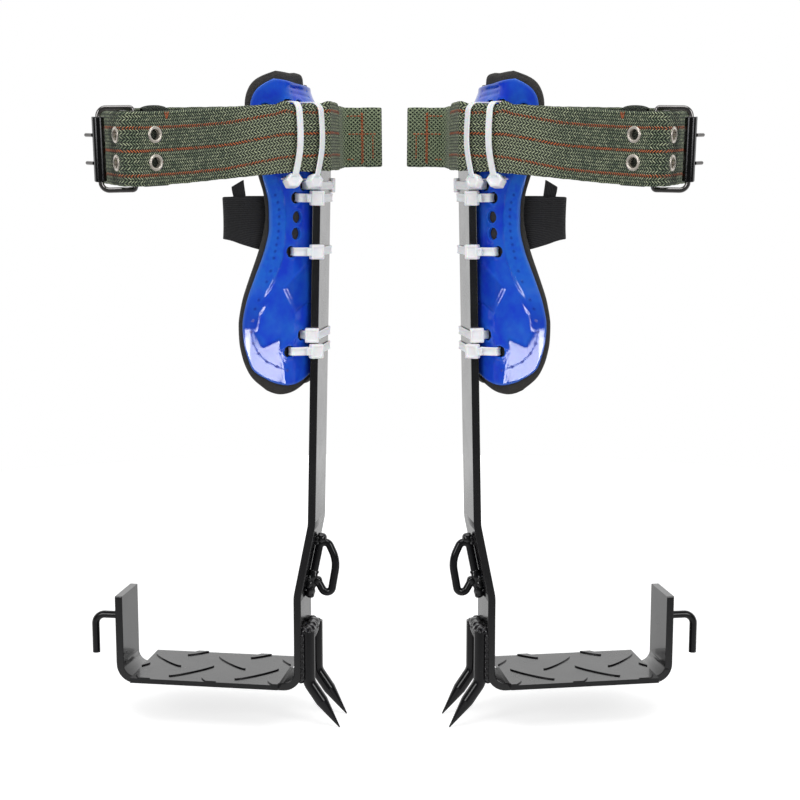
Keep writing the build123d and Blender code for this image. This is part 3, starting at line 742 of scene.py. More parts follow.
# %% Shape of the belt
def belt_shape():
    """Points of the belt with their place in the weave and their share of painted highlight."""
    section = strap_section(BELT_WIDTH, BELT_THICKNESS, BELT_COLUMNS)
    columns = len(section)
    rng = np.random.default_rng(7)
    phases = rng.uniform(0, 2 * math.pi, 6)
    along = belt_along
    wave = 0.3 * np.sin(along / 11 + phases[0]) + 0.2 * np.sin(along / 5.3 + phases[1])
    calm = np.clip((along - 40) / 30, 0, 1) * np.clip(np.abs(along - heel_at) / 30, 0, 1)
    wave = wave * calm * np.clip(1 - hump(along, (tongue_from + tongue_to) / 2, 60), 0.1, 1)
    wander = 0.1 * np.sin(along / 2.9 + phases[2]) + 0.08 * np.sin(along / 1.35 + phases[3])
    pinch = sum(hump(along, crease_at + station, 9) for station in TIE_STATIONS)
    rise = 2.4 * hump(along, crease_at - 6, 11) + 1.6 * smooth((along - corner_at + 24) / 30)
    end_share = np.clip(1 - (tail_at - along) / 7.0, 0, 1)
    rise = rise - 6.0 * (1 - np.sqrt(1 - end_share ** 2))
    twist = 4.5 * smooth((along - crease_at + 70) / 70)
    pressed = 2.0 * smooth((along - corner_at) / 14)
    narrow = 1 - 0.06 * smooth((along - tongue_from) / 6) * (1 - smooth((along - tongue_to) / 6))
    open_out = 1 - 0.4 * smooth((along - crease_at + 115) / 90)
    diving = 1 - smooth((np.abs(along - dive_at) - 9) / 9)
    open_out = open_out * (1 - 0.55 * diving)
    # Painted highlight: the belt gets lighter towards the crease, a little less right at it.
    crease_highlight = smooth((along - crease_at + 78) / 45)
    crease_highlight = crease_highlight * (1 - 0.45 * smooth((along - crease_at + 4) / 10))
    pattern = np.concatenate([[0], np.cumsum(np.diff(along) * open_out[1:])])
    lift = belt_lift(belt_line)
    out = right_hand(belt_line)
    share = section[:, 0] / (BELT_WIDTH / 2)
    upper, lower = np.clip(share, 0, 1) ** 2, np.clip(-share, 0, 1) ** 2
    edge, frayed = np.abs(share) ** 4, np.sign(share) * np.abs(share) ** 6
    points, uv = [], []
    for row in range(len(belt_line)):
        across = section[:, 0] * 0.985 * narrow[row] + frayed * wander[row]
        across = across + upper * (rise[row] - 1.4 * pinch[row])
        across = across + lower * 1.6 * pinch[row] + lift[row]
        depth = section[:, 1] + wave[row] - pressed[row] - 1.8 * edge * pinch[row]
        flat = belt_line[row] + out[row] * depth[:, None]
        points.append(np.column_stack([flat, across]))
        woven = section[:, 0] + BELT_WIDTH / 2 - twist[row]
        uv.append(np.column_stack([np.full(columns, pattern[row]), woven]))
    return np.concatenate(points), np.concatenate(uv), np.repeat(crease_highlight, columns), columns


belt_points, belt_uv, belt_crease_highlight, belt_columns = belt_shape()
print("belt points", len(belt_points))

# %% [markdown]
# Eyelets are punched through the cloth, so the faces inside them are left out on both sides of
# the strap and the cut edges are closed with small walls. The faces of the tongue take the
# basket weave as their second material.

# %% Belt
def cell_middles(grid):
    return (grid[1:, 1:] + grid[:-1, 1:] + grid[1:, :-1] + grid[:-1, :-1]) / 4


def belt_faces(points, columns):
    """Faces of the belt, left open at the eyelets, with the cut edges closed."""
    rows = len(belt_line)
    flat = BELT_COLUMNS
    back = flat + EDGE_STEPS
    cut = np.zeros((rows, flat), bool)
    middles = cell_middles(points.reshape(rows, columns, 3)[:, :flat])
    for spot, facing in EYELET_SPOTS:
        off = middles[..., :2] - spot
        same_layer = np.abs(off @ facing) < LAYER_PITCH / 2
        for level in EYELET_ROWS:
            away = np.hypot(off @ turned_right(facing), middles[..., 2] - level)
            cut[:-1, :-1] |= same_layer & (away < EYELET_HOLE + 0.5)
    faces, places = [], []

    def at(row, column):
        return row * columns + column

    def behind(column):
        return back + (flat - 1 - column)

    for row in range(rows - 1):
        for column in range(columns):
            beside = (column + 1) % columns
            front = column if column < flat - 1 else None
            if back <= column < back + flat - 1:
                front = flat - 2 - (column - back)
            if front is not None and cut[row, front]:
                continue
            faces.append((at(row, column), at(row, beside),
                          at(row + 1, beside), at(row + 1, column)))
            places.append(row)
        for column in range(flat - 1):
            if not cut[row, column]:
                continue
            walls = [
                (cut[row - 1, column], (row, column), (row, column + 1)),
                (cut[row + 1, column], (row + 1, column), (row + 1, column + 1)),
                (cut[row, column - 1], (row, column), (row + 1, column)),
                (cut[row, column + 1], (row, column + 1), (row + 1, column + 1)),
            ]
            for open_beside, (row_a, col_a), (row_b, col_b) in walls:
                if not open_beside:
                    faces.append((at(row_a, col_a), at(row_b, col_b),
                                  at(row_b, behind(col_b)), at(row_a, behind(col_a))))
                    places.append(row)
    faces.append(tuple(range(columns))[::-1])
    places.append(0)
    faces.append(tuple(range(at(rows - 1, 0), at(rows - 1, 0) + columns)))
    places.append(rows - 1)
    return faces, places


faces, places = belt_faces(belt_points, belt_columns)
in_tongue = (belt_along[places] > tongue_from) & (belt_along[places] < tongue_to)
make_pair("belt", in_belt_frame(belt_points), faces, [belt_webbing, tongue_webbing],
          replaces=["belt"], uv=belt_uv, marks={"crease_highlight": belt_crease_highlight},
          which=in_tongue.astype(int), sharp=50)
print("belt with", len(faces), "faces")

# %% [markdown]
# The shin guard is an injection moulding: one curved blue shell with a rolled rim, a raised
# band along the sides, pressed panels and rows of small dimples. It is built as a fine grid
# over the wall rolled out flat, arc length across and height up. Relief is then just a height
# added along the radius. The grid fills a drawn outline whose corners are rounded.

# %% Outlines of the guard
GUARD_RADIUS = 54.0
GUARD_AXIS = -54.4
GUARD_LEAN = math.radians(1.35)
LEAN_X, LEAN_HEIGHT = 12.0, 124.0
TOP_BEND = 9.0
FAR_DROP = 9.0
ROUNDING_SAMPLES = 12
SHELL_OUTLINE = [(234.7, 56), (236, 60), (238, 63.5), (241, 67.6), (246, 71.3), (250, 73),
                 (266, 78.5), (283, 80), (300, 76.4), (317, 70), (334, 63), (350, 58.5),
                 (373, 59.2), (393, 65.5), (420, 72), (438, 75.6), (445, 75), (450, 73.2),
                 (454.5, 70), (458, 65.6), (460.2, 61), (461, 56.5)]
SHELL_TOP = [(0, 457.6), (10, 458), (20, 458.6), (30, 459.3), (40, 460.2), (48, 460.8), (53, 461),
             (58, 461)]
SHELL_BOTTOM = [(0, 243.5), (10, 241.8), (19.6, 238.6), (26.6, 236.2), (32, 235), (37.3, 234.7),
                (45, 235.8), (52.8, 238.4), (64, 243.6)]
FOAM_OUTLINE = [(227.5, 58.4), (229, 61), (231, 64), (233, 65.9), (236, 68.4), (240, 71.1),
                (243, 73.2), (246, 75.1), (252, 78.7), (266, 82.8), (283, 83.8), (300, 80.4),
                (317, 74), (333, 67.5), (348, 62.5), (360, 60.3), (377, 62), (393, 68.5), (420, 76),
                (442, 80.4), (450, 79), (456, 76), (460, 72.8), (463, 69), (465, 65), (466.3, 60.6),
                (466.8, 56.5), (467, 52.5)]
FOAM_TOP = [(0, 457), (6, 459), (11, 463), (16, 466), (24, 466.8), (33, 466), (42, 466.6),
            (50, 467), (58, 467)]
FOAM_BOTTOM = [(0, 236.5), (10, 234.4), (21.2, 230.9), (28, 228.9), (33.1, 228), (38, 227.5),
               (42.5, 227.5), (49, 228.9), (55, 231.5), (66, 237)]
print("outlines of", len(SHELL_OUTLINE), "and", len(FOAM_OUTLINE), "points")

# %% [markdown]
# The grid has a row for each height and spreads its columns between the two edges, closer at the
# rim. Its ends are then warped to the top and bottom lines, and every point is wrapped round the
# axis of the guard and leans with it.

# %% Grid of the guard
def leaned(x, y, height):
    """Points of a piece that leans with the guard, from plan and height over the tread."""
    z = height - LEAN_HEIGHT
    cos, sin = math.cos(GUARD_LEAN), math.sin(GUARD_LEAN)
    return np.stack([LEAN_X + x * cos + z * sin, y, LEAN_HEIGHT - x * sin + z * cos], -1)


def in_guard_frame(radius, angle, height):
    """Points of the guard's wall, whose top bends away from the shank."""
    middle = np.clip(1 - np.abs(angle) / 0.95, 0, 1)
    bend = TOP_BEND * smooth((height - 434) / 28) * (1 - 0.5 * smooth((height - 452) / 15))
    x = GUARD_AXIS + radius * np.cos(angle) - bend * smooth(middle * 1.6)
    return leaned(x, radius * np.sin(angle), height)


def even_curve(points, spots, rounding):
    """Values of a drawn line at some spots, its corners rounded over some millimetres."""
    places, values = np.array(points, float).T
    step = rounding / ROUNDING_SAMPLES
    fine = np.arange(places[0], places[-1] + step, step)
    drawn = np.interp(fine, places, values)
    reach = min(3 * ROUNDING_SAMPLES, len(fine) - 1)
    kernel = np.exp(-0.5 * (np.arange(-reach, reach + 1) / ROUNDING_SAMPLES) ** 2)
    padded = np.pad(drawn, reach, mode="reflect", reflect_type="odd")
    return np.interp(spots, fine, np.convolve(padded, kernel / kernel.sum(), mode="valid"))


def guard_grid(outline, top_line, bottom_line, spacing):
    """Angles and heights of a grid that fills the outline, its top and bottom lines warped."""
    low, high = outline[0][0], outline[-1][0]
    ends = np.array([0, 0.35, 0.8])
    levels = np.linspace(low + 1.4, high - 1.4, int((high - low) / spacing))
    levels = np.concatenate([low + ends, levels, high - ends[::-1]])
    half = np.radians(even_curve(outline, levels, 4.0))
    inner = np.linspace(-0.978, 0.978, int(140 / spacing))
    shares = np.concatenate([[-1, -0.9945, -0.987], inner, [0.987, 0.9945, 1]])
    angles = half[:, None] * shares[None, :]
    heights = np.repeat(levels[:, None], len(shares), 1)
    arc = np.abs(angles) * GUARD_RADIUS
    drop = even_curve(top_line, arc, 1.6) - high
    heights = heights + drop * smooth((levels - high + 34) / 34)[:, None] ** 1.5
    corner_arc = math.radians(outline[0][1]) * GUARD_RADIUS
    raised = even_curve(bottom_line, np.minimum(arc, corner_arc), 3.0) - low
    heights = heights + raised * (1 - smooth((levels - low) / 18))[:, None]
    far = smooth(angles / 0.5) * smooth((levels - high + 34) / 34)[:, None]
    return angles, heights - FAR_DROP * far


print("guard wall", GUARD_RADIUS, "mm in radius")

# %% [markdown]
# Rim, holes and relief all ask the same of a grid point: how far is it from an edge, a slot, a
# polygon or a line? These helpers answer for the whole grid at once.

# %% Distances on the guard
FAR_AWAY = 1e9


def rim_distance(angles, heights):
    """Distance of every grid point from the outer edge of the grid."""
    flat = np.stack([angles * GUARD_RADIUS, heights], -1)
    border = np.concatenate([flat[0], flat[-1], flat[:, 0], flat[:, -1]])
    tree = KDTree(len(border))
    for number, (arc, height) in enumerate(border):
        tree.insert((arc, height, 0), number)
    tree.balance()
    spots = flat.reshape(-1, 2)
    away = [tree.find((arc, height, 0))[2] for arc, height in spots]
    return np.array(away).reshape(angles.shape)


def slot_distance(arc, height, middle, wide, tall):
    """Signed distance from a slot with round ends, negative inside."""
    radius = min(wide, tall) / 2
    dx = np.clip(np.abs(arc - middle[0]) - (wide / 2 - radius), 0, None)
    dy = np.clip(np.abs(height - middle[1]) - (tall / 2 - radius), 0, None)
    return np.hypot(dx, dy) - radius


def line_distance(arc, height, line):
    """Distance from an open line of runs."""
    spots = np.stack([arc, height], -1)
    corners = np.array(line, float)
    nearest = np.full(arc.shape, FAR_AWAY)
    for start, end in zip(corners, corners[1:]):
        run = end - start
        share = np.clip(((spots - start) @ run) / (run @ run), 0, 1)
        away = np.linalg.norm(spots - start - share[..., None] * run, axis=-1)
        nearest = np.minimum(nearest, away)
    return nearest


def polygon_distance(arc, height, corners):
    """Signed distance from a polygon, positive inside."""
    border = [*corners, corners[0]]
    inside = np.zeros(arc.shape, bool)
    for (start_x, start_y), (end_x, end_y) in zip(border, border[1:]):
        crosses = (start_y > height) != (end_y > height)
        with np.errstate(divide="ignore", invalid="ignore"):
            at = start_x + (height - start_y) * (end_x - start_x) / (end_y - start_y)
        inside ^= crosses & (arc < at)
    nearest = line_distance(arc, height, border)
    return np.where(inside, nearest, -nearest)


print("distance helpers ready")

# %% [markdown]
# Shell and foam are thin solids: the same grid twice, one wall outside and one inside, joined
# along the border and round every hole, so that no edge stays open.

# %% Two walls from one grid
def double_wall(outer, inner, cut):
    """Faces of two matching grids joined at the border and round the cut cells."""
    rows, columns = cut.shape[0] + 1, cut.shape[1] + 1
    behind = rows * columns
    faces = []

    def at(row, column):
        return row * columns + column

    open_cells = np.pad(cut, 1, constant_values=True)
    for row in range(rows - 1):
        for column in range(columns - 1):
            if cut[row, column]:
                continue
            a, b = at(row, column), at(row, column + 1)
            c, d = at(row + 1, column + 1), at(row + 1, column)
            faces.append((a, b, c, d))
            faces.append((d + behind, c + behind, b + behind, a + behind))
            walls = ((open_cells[row, column + 1], a, b), (open_cells[row + 1, column + 2], b, c),
                     (open_cells[row + 2, column + 1], c, d), (open_cells[row + 1, column], d, a))
            for beside, start, end in walls:
                if beside:
                    faces.append((end, start, start + behind, end + behind))
    return np.concatenate([outer.reshape(-1, 3), inner.reshape(-1, 3)]), faces


print("walls can be joined")

# %% [markdown]
# Vents and slots for the ties go through the shell. They could be cut by a boolean, but on a
# plain grid it is cleaner to pull the nearest points onto the outline of the hole and to leave
# out what lies inside.

# %% Holes of the shell
SHANK_TIES = [(384.6, 24, 1), (375.3, 33, -1), (335.4, 37, -1), (272.4, 24, -1), (260.6, 38, -1)]
VENTS = [(361, 33.5), (348.7, 34.3), (438.6, 63)]
BELT_TIE_LEVELS = (444.6, 388.9)
TIE_SLACK = 1.9


def belt_tie_crossing(station):
    """Angle and radius round the guard's axis where a belt tie crosses the outer layer."""
    axis_x = LEAN_X + (BELT_MIDDLE - LEAN_HEIGHT) * math.tan(GUARD_LEAN) + GUARD_AXIS
    x, y = CREASE + FRONT_RUN * station - np.array([axis_x, 0])
    return math.atan2(y, x), math.hypot(x, y)


def shell_holes():
    """Middle, width and height of every vent and of every slot for a tie."""
    holes = []
    for side in (-1, 1):
        holes += [(side * math.radians(angle) * GUARD_RADIUS, height, 9.0, 9.0)
                  for height, angle in VENTS]
        holes += [(side * (math.radians(angle) * GUARD_RADIUS + TIE_SLACK), height, 9.4, 8.6)
                  for height, angle, _ in SHANK_TIES]
    for station in TIE_STATIONS:
        arc = belt_tie_crossing(station)[0] * GUARD_RADIUS
        holes += [(arc, height, 8.4, 4.4) for height in BELT_TIE_LEVELS]
    return holes


def hole_distance(arc, height):
    away = np.full(arc.shape, FAR_AWAY)
    for middle_arc, middle_height, wide, tall in shell_holes():
        away = np.minimum(away, slot_distance(arc, height, (middle_arc, middle_height), wide, tall))
    return away


def pull_to_holes(arc, height, reach):
    """Move grid points that lie close to a hole's outline onto it."""
    for _ in range(3):
        away = hole_distance(arc, height)
        step = 0.05
        slope_a = hole_distance(arc + step, height) - hole_distance(arc - step, height)
        slope_h = hole_distance(arc, height + step) - hole_distance(arc, height - step)
        close = np.abs(away) < reach
        arc = np.where(close, arc - away * (slope_a / (2 * step)), arc)
        height = np.where(close, height - away * (slope_h / (2 * step)), height)
    return arc, height


print("holes in the shell:", len(shell_holes()))

# %% [markdown]
# The relief follows the moulding: a band beside the rim that stands proud, a shield in the
# middle, a broad panel along the lower edge, two thin ribs and a row of dimples along the band.
# The dots round the lower panel are only dull spots in the gloss. Two short grooves run under
# the top rim, and every hole has a low lip.

# %% Relief of the shell
SHELL_THICKNESS = 2.2
BAND_PROUD, SHIELD_PROUD, PANEL_PROUD, RIB_PROUD, LIP_PROUD = 0.8, 0.85, 0.7, 0.5, 0.35
GROOVE_DEEP, DIMPLE_DEEP = 0.7, 0.12
BAND_RIDGE = [(300, 60), (308, 55), (318.5, 49.6), (330.9, 44.6), (344.5, 42.9), (361.4, 42.5),
              (377.1, 44.7), (390.4, 49.9), (402, 57), (410, 64)]
SHIELD = [(-21.1, 326.9), (21.1, 326.9), (26.7, 323), (36.1, 315.9), (43.7, 308.8), (32.6, 289.5),
          (20.3, 295.6), (-20.3, 295.6)]
LOWER_PANEL = [(56.7, 309.6), (53, 302.1), (61.2, 289), (63.3, 276), (59.2, 267.3), (45.8, 273.3),
               (43.2, 268.2), (46.3, 260), (42.9, 250.1), (40, 225), (90, 225), (90, 309.6)]
RIBS = [[(29.9, 272.5), (45, 262.3)], [(31.5, 270.2), (40.9, 258.6), (40.2, 252.9)]]
TOP_GROOVES = [[(36, 455.6), (8, 454.2)], [(36, 451.6), (8, 449.8)]]
DIMPLES = [(51.6, 377.1), (49.6, 371.8), (48.6, 366.5), (48.3, 361.4), (48.4, 356), (48.7, 350.8),
           (49.3, 345.7), (50.2, 340.8), (51.2, 335.9), (52.2, 331), (54.5, 321.4), (57.4, 313.5),
           (63, 300), (65.9, 293.3), (67.4, 284.6), (68.5, 276.2), (66.9, 267.7), (62.9, 260),
           (56.5, 253.8), (48.3, 249.8), (39.3, 246.4)]
LOWER_DOTS = 14
PANEL_TOP = 279.0
PANEL_SLOPE = math.tan(math.radians(2.2))


def shell_relief(arc, height, rim):
    """Height of the relief, and the shares of band and panels for the finish."""
    side = np.abs(arc)
    relief = -1.0 + np.sqrt(np.clip(1 - np.clip(1 - rim / 1.0, 0, 1) ** 2, 0, 1))
    ridge = np.interp(height, *zip(*BAND_RIDGE), right=99)
    proud = smooth((side - ridge + 1.1) / 2.2) * smooth((height - 292) / 26)
    shield = smooth((polygon_distance(arc, height, SHIELD) + 0.2) / 2.0)
    shield = np.maximum(shield, smooth((polygon_distance(-arc, height, SHIELD) + 0.2) / 2.0))
    panel = smooth((polygon_distance(side, height, LOWER_PANEL) + 0.2) / 2.6)
    panel = panel * (1 - smooth((height - 286) / 20))
    relief = relief + BAND_PROUD * proud + SHIELD_PROUD * shield + PANEL_PROUD * panel
    for rib in RIBS:
        relief = relief + RIB_PROUD * smooth(1 - line_distance(side, height, rib) / 1.3)
    for groove in TOP_GROOVES:
        relief = relief - GROOVE_DEEP * smooth(1 - line_distance(side, height, groove) / 1.2)
    for arc_middle, height_middle in DIMPLES[:LOWER_DOTS]:
        away = np.hypot(side - arc_middle, height - height_middle)
        relief = relief - DIMPLE_DEEP * smooth(1.25 - away / 1.4)
    lip = hole_distance(arc, height)
    relief = relief + LIP_PROUD * smooth(1 - np.abs(lip - 1.1) / 1.1)
    swell = PANEL_SLOPE * np.clip(PANEL_TOP - height, 0, 46) * panel
    return relief - swell, proud, np.maximum(shield, panel)


print("relief up to", SHIELD_PROUD, "mm")

# %% [markdown]
# Now the shell is drawn: grid, holes, relief on the radius, and both walls joined. While the
# distances are at hand, each point also notes where it lies, in the rim, the band, a panel, the
# lip of a hole or a dot, so the finish can tint and dull those places.

# %% Guard shell
angles, heights = guard_grid(SHELL_OUTLINE, SHELL_TOP, SHELL_BOTTOM, 0.95)
shell_arc, shell_height = pull_to_holes(angles * GUARD_RADIUS, heights, 0.52)
rim = rim_distance(angles, heights)
relief, proud, panels = shell_relief(shell_arc, shell_height, rim)
shell_angle = shell_arc / GUARD_RADIUS
inside = np.full(relief.shape, GUARD_RADIUS - SHELL_THICKNESS)
outer = in_guard_frame(GUARD_RADIUS + relief, shell_angle, shell_height)
inner = in_guard_frame(inside, shell_angle, shell_height)
cut = hole_distance(cell_middles(shell_arc), cell_middles(shell_height)) < -0.02
shell_points, shell_faces = double_wall(outer, inner, cut)


def dimple_share(arc, height, spots):
    """One in the middle of a dimple and nothing outside it."""
    share = np.zeros(arc.shape)
    for arc_middle, height_middle in spots:
        away = np.hypot(np.abs(arc) - arc_middle, height - height_middle)
        share = np.maximum(share, 1.3 - away / 1.1)
    return np.clip(share, 0, 1)


def both_walls(values):
    return np.concatenate([values.ravel(), values.ravel()])


dull_line = line_distance(np.abs(shell_arc), shell_height, DIMPLES[LOWER_DOTS + 1:])
dull = np.maximum(dimple_share(shell_arc, shell_height, DIMPLES[LOWER_DOTS:]),
                  0.8 * np.clip(1 - dull_line / 0.75, 0, 1))
shell_marks = {
    "rim": both_walls(np.clip(rim / 12, 0, 1)),
    "band": both_walls(proud),
    "panel": both_walls(panels),
    "lip": both_walls(np.clip(1 - np.abs(hole_distance(shell_arc, shell_height)) / 1.6, 0, 1)),
    "dimple": both_walls(dimple_share(shell_arc, shell_height, DIMPLES)),
    "dull": both_walls(dull),
}
print("shell with", len(shell_faces), "faces")

# %% [markdown]
# The blue plastic is a little see-through, so it is deeper blue where it is thick, in the
# panels. The raised band is tinted a lighter, mottled blue. The rim and the lips of the holes
# get a pale painted highlight, and the dimples a painted shade of deep blue. A cloudy mottling
# comes from the foam behind it. The skin is glossy with faint flow marks.

# %% Blue shell finish
BLUE_DEEP = (0.005, 0.020, 0.38)
BLUE = (0.014, 0.073, 0.93)
BLUE_LIGHT = (0.024, 0.22, 0.98)
# Pale blue of the painted highlight along the rim.
BLUE_RIM_HIGHLIGHT = (0.12, 0.30, 0.90)

finish, tree, shader = new_finish("blue shell", Specular_IOR_Level=0.56)
place = object_place(tree)
cloud = grain(tree, place, 55.0, 3.0, 0.6)
fine_cloud = grain(tree, place, 240.0, 2.0)
colour = mixed(tree, ramp(tree, cloud, [(0.35, 0.0), (0.72, 0.75)]), BLUE, BLUE_LIGHT)
mottled = ramp(tree, fine_cloud, [(0.3, 0.3), (0.7, 0.85)])
# Painted highlight: a pale band along the rim.
edge = ramp(tree, mark(tree, "rim"), [(0.0, 0.7), (0.06, 0.35), (0.2, 0.0)])
# The lip tint is a painted highlight round the holes and the dimple tint a painted shade.
tints = [(BLUE_LIGHT, mottled, "band"), (BLUE_DEEP, 0.3, "panel"), (BLUE_RIM_HIGHLIGHT, edge, None),
         (BLUE_LIGHT, 0.45, "lip"), (BLUE_DEEP, 0.85, "dimple")]
for tint, share, where in tints:
    if where:
        share = calc(tree, "MULTIPLY", mark(tree, where), share)
    colour = mixed(tree, share, colour, tint)
dull = calc(tree, "MULTIPLY", mark(tree, "dull"), 0.75)
gloss = calc(tree, "MAXIMUM", spread(tree, cloud, 0.3, 0.7, 0.05, 0.11), dull)
feed(tree, shader, Base_Color=colour, Roughness=gloss)
skin = calc(tree, "ADD", cloud, calc(tree, "MULTIPLY", fine_cloud, 0.1))
bumped(tree, shader, skin, 0.0010, 0.06)
shells = make_pair("guard_shell", shell_points, shell_faces, [finish],
                   replaces=["guard_shell"], marks=shell_marks, sharp=60)
print("blue shell placed")

# %% [markdown]
# Gloss plastic is drawn by what it mirrors. A low strip light on each side makes the pale patch
# at the foot of each shell, and light linking lets only the shells receive it. The side
# softboxes, which suit the steel, leave the shells out, so no second patch competes with it.

# %% Lights for the shells
shell_group = bpy.data.collections.new("glossy shells")
for shell in shells:
    shell_group.objects.link(shell)
for side in (-1, 1):
    place, aim = (side * -0.42, -0.86, 0.055), (side * 0.13, 0, 0.12)
    strip = softbox("low strip light", place, aim, width=1.25, height=0.1, power=5.0)
    strip.visible_diffuse = False
    strip.light_linking.receiver_collection = shell_group
other_pieces = bpy.data.collections.new("all but the shells")
for shell in shells:
    other_pieces.objects.link(shell)
for linked in other_pieces.collection_objects:
    linked.light_linking.link_state = "EXCLUDE"
for lamp in side_lamps:
    lamp.light_linking.receiver_collection = other_pieces
print("lamps in the studio:", len(bpy.data.lights))

# %% [markdown]
# Behind the shell lies a foam pad with a cloth face that looks out all round as a dark soft
# border. It is the same kind of grid, thicker and coarser. Both faces curve into each other at
# the rim, grooves leave room for the ties, and shallow dents quilt the calf side.

# %% Foam pad
FOAM_RADIUS = 51.3
FOAM_THICKNESS = 6.0
FOAM_ROLL, ROLL_REACH = 2.9, 3.2
TIE_ROOM = 2.3
QUILT_PITCH, QUILT_DEEP = 26, 0.6

angles, heights = guard_grid(FOAM_OUTLINE, FOAM_TOP, FOAM_BOTTOM, 1.4)
rim = rim_distance(angles, heights)
arc = angles * FOAM_RADIUS
roll = FOAM_ROLL * (1 - np.sqrt(1 - np.clip(1 - rim / ROLL_REACH, 0, 1) ** 2))
room = np.zeros(arc.shape)
for height, angle, _ in SHANK_TIES:
    across = smooth((math.radians(angle + 6) - np.abs(angles)) / 0.04)
    room = np.maximum(room, across * smooth((5.0 - np.abs(heights - height)) / 1.4))
for station in TIE_STATIONS:
    across = smooth((math.radians(6.5) - np.abs(angles - belt_tie_crossing(station)[0])) / 0.03)
    across = across * smooth((heights - 385.0) / 1.5) * smooth((448.5 - heights) / 1.5)
    room = np.maximum(room, across)
lumps = 0.25 * np.sin(arc / 7.3 + 1.2) * np.sin(heights / 9.1)
lumps = lumps + 0.12 * np.sin(arc / 3.1 + heights / 4.3)
rising = np.sin((arc + heights) * math.pi / QUILT_PITCH)
falling = np.sin((arc - heights) * math.pi / QUILT_PITCH)
quilt = QUILT_DEEP * np.abs(rising * falling) ** 0.4
front = FOAM_RADIUS - roll - TIE_ROOM * room - 0.1 * np.abs(lumps)
back = FOAM_RADIUS - FOAM_THICKNESS + roll + QUILT_DEEP - quilt + 0.4 * lumps
outer, inner = (in_guard_frame(radius, angles, heights) for radius in (front, back))
whole = np.zeros((arc.shape[0] - 1, arc.shape[1] - 1), bool)
foam_points, foam_faces = double_wall(outer, inner, whole)

black_foam, tree, shader = new_finish("black foam", Roughness=0.9, Sheen_Weight=0.12,
                                      Sheen_Roughness=0.6)
place = object_place(tree)
cells = add_node(tree, "TexVoronoi", None, {"Vector": place, "Scale": 1500.0}).outputs["Distance"]
cloth = grain(tree, place, 320.0, 4.0, 0.65)
rough = calc(tree, "ADD", cells, cloth)
tone = calc(tree, "MULTIPLY", rough, 0.7)
shades = [(0.25, (0.008, 0.0075, 0.007)), (0.75, (0.034, 0.031, 0.028))]
feed(tree, shader, Base_Color=ramp(tree, tone, shades))
bumped(tree, shader, rough, 0.0006, 0.6)
pads = make_pair("guard_foam", foam_points, foam_faces, [black_foam],
                 replaces=["guard_foam"], sharp=70)
print("foam pad with", len(foam_faces), "faces")

# %% [markdown]
# A wide black elastic holds the guard round the calf. Ribbed elastic has fine cords along its
# length, so the bump is a row of cords with a cross weave. On the leg the strap is pulled
# narrower round the outer bend, so its lower edge rises there.

# %% Elastic strap
STRAP_MIDDLE = 356.0
STRAP_WIDTH, STRAP_THICKNESS = 40.0, 2.2
STRAP_RAISED = 8.5
STRAP_CORNERS = [(-10.5, -33.5), (-29.0, -46.0), (-47.0, -36.0), (-47.0, 36.0), (-29.0, 46.0),
                 (-10.5, 33.5)]
CORD_PITCH, PICK_PITCH = 1.5, 0.9

black_elastic, tree, shader = new_finish("black elastic", Roughness=0.85, Specular_IOR_Level=0.25,
                                         Sheen_Weight=0.06, Sheen_Roughness=0.45)
uv = add_node(tree, "UVMap", {"uv_map": "weave"}).outputs[0]
parts = add_node(tree, "SeparateXYZ", None, {0: uv}).outputs
cords, picks = ridges(tree, parts["Y"], CORD_PITCH), ridges(tree, parts["X"], PICK_PITCH)
fuzz = grain(tree, uv, 1.6, 4.0, 0.7)
height = calc(tree, "ADD", cords, calc(tree, "MULTIPLY", picks, 0.35))
# The cord heights also set the colour: painted shade between the cords, a painted highlight on
# their crowns.
tone = calc(tree, "MULTIPLY", calc(tree, "ADD", height, fuzz), 0.5)
shades = [(0.25, (0.003, 0.003, 0.0035)), (0.8, (0.034, 0.034, 0.037))]
feed(tree, shader, Base_Color=ramp(tree, tone, shades))
bumped(tree, shader, calc(tree, "ADD", height, calc(tree, "MULTIPLY", fuzz, 0.4)), 0.0006, 0.6)

strap_line = rounded_line(STRAP_CORNERS, [9.0, 14.0, 14.0, 9.0], 1.2)
strap_along = distances_along(strap_line)
section = strap_section(STRAP_WIDTH, STRAP_THICKNESS, 25)
out = right_hand(strap_line)
gaps = np.linalg.norm(strap_line - np.array(STRAP_CORNERS[2]), axis=1)
bend_at = strap_along[int(np.argmin(gaps))]
points, uv = [], []
for row, spot in enumerate(strap_line):
    share = section[:, 0] / (STRAP_WIDTH / 2)
    from_end = min(strap_along[row], strap_along[-1] - strap_along[row])
    raised = STRAP_RAISED * smooth(from_end / bend_at)
    across = section[:, 0] + np.clip((1 - share) / 2, 0, 1) ** 2 * raised
    depth = section[:, 1] + 0.35 * math.sin(strap_along[row] / 9.0) - 0.5 * share ** 2
    flat = spot + out[row] * depth[:, None]
    points.append(np.column_stack([flat, across + STRAP_MIDDLE]))
    uv.append(np.column_stack([np.full(len(section), strap_along[row]), section[:, 0]]))
faces = band(len(strap_line), len(section))
make_pair("calf_strap", np.concatenate(points), faces, [black_elastic],
          replaces=["calf_strap"], uv=np.concatenate(uv), sharp=50)
print("elastic", round(strap_along[-1]), "mm round the calf")

# %% [markdown]
# A short tab of the same elastic is sewn inside the strap and stands up from it. It is an upright
# strip whose free end tapers to one side.

# %% Tab of the strap
TAB_WIDTH, TAB_THICKNESS = 12.0, 1.5
TAB_LOW, TAB_TAPER_FROM, TAB_HIGH = 350.0, 372.0, 388.5
TAB_TAPER = 2.6

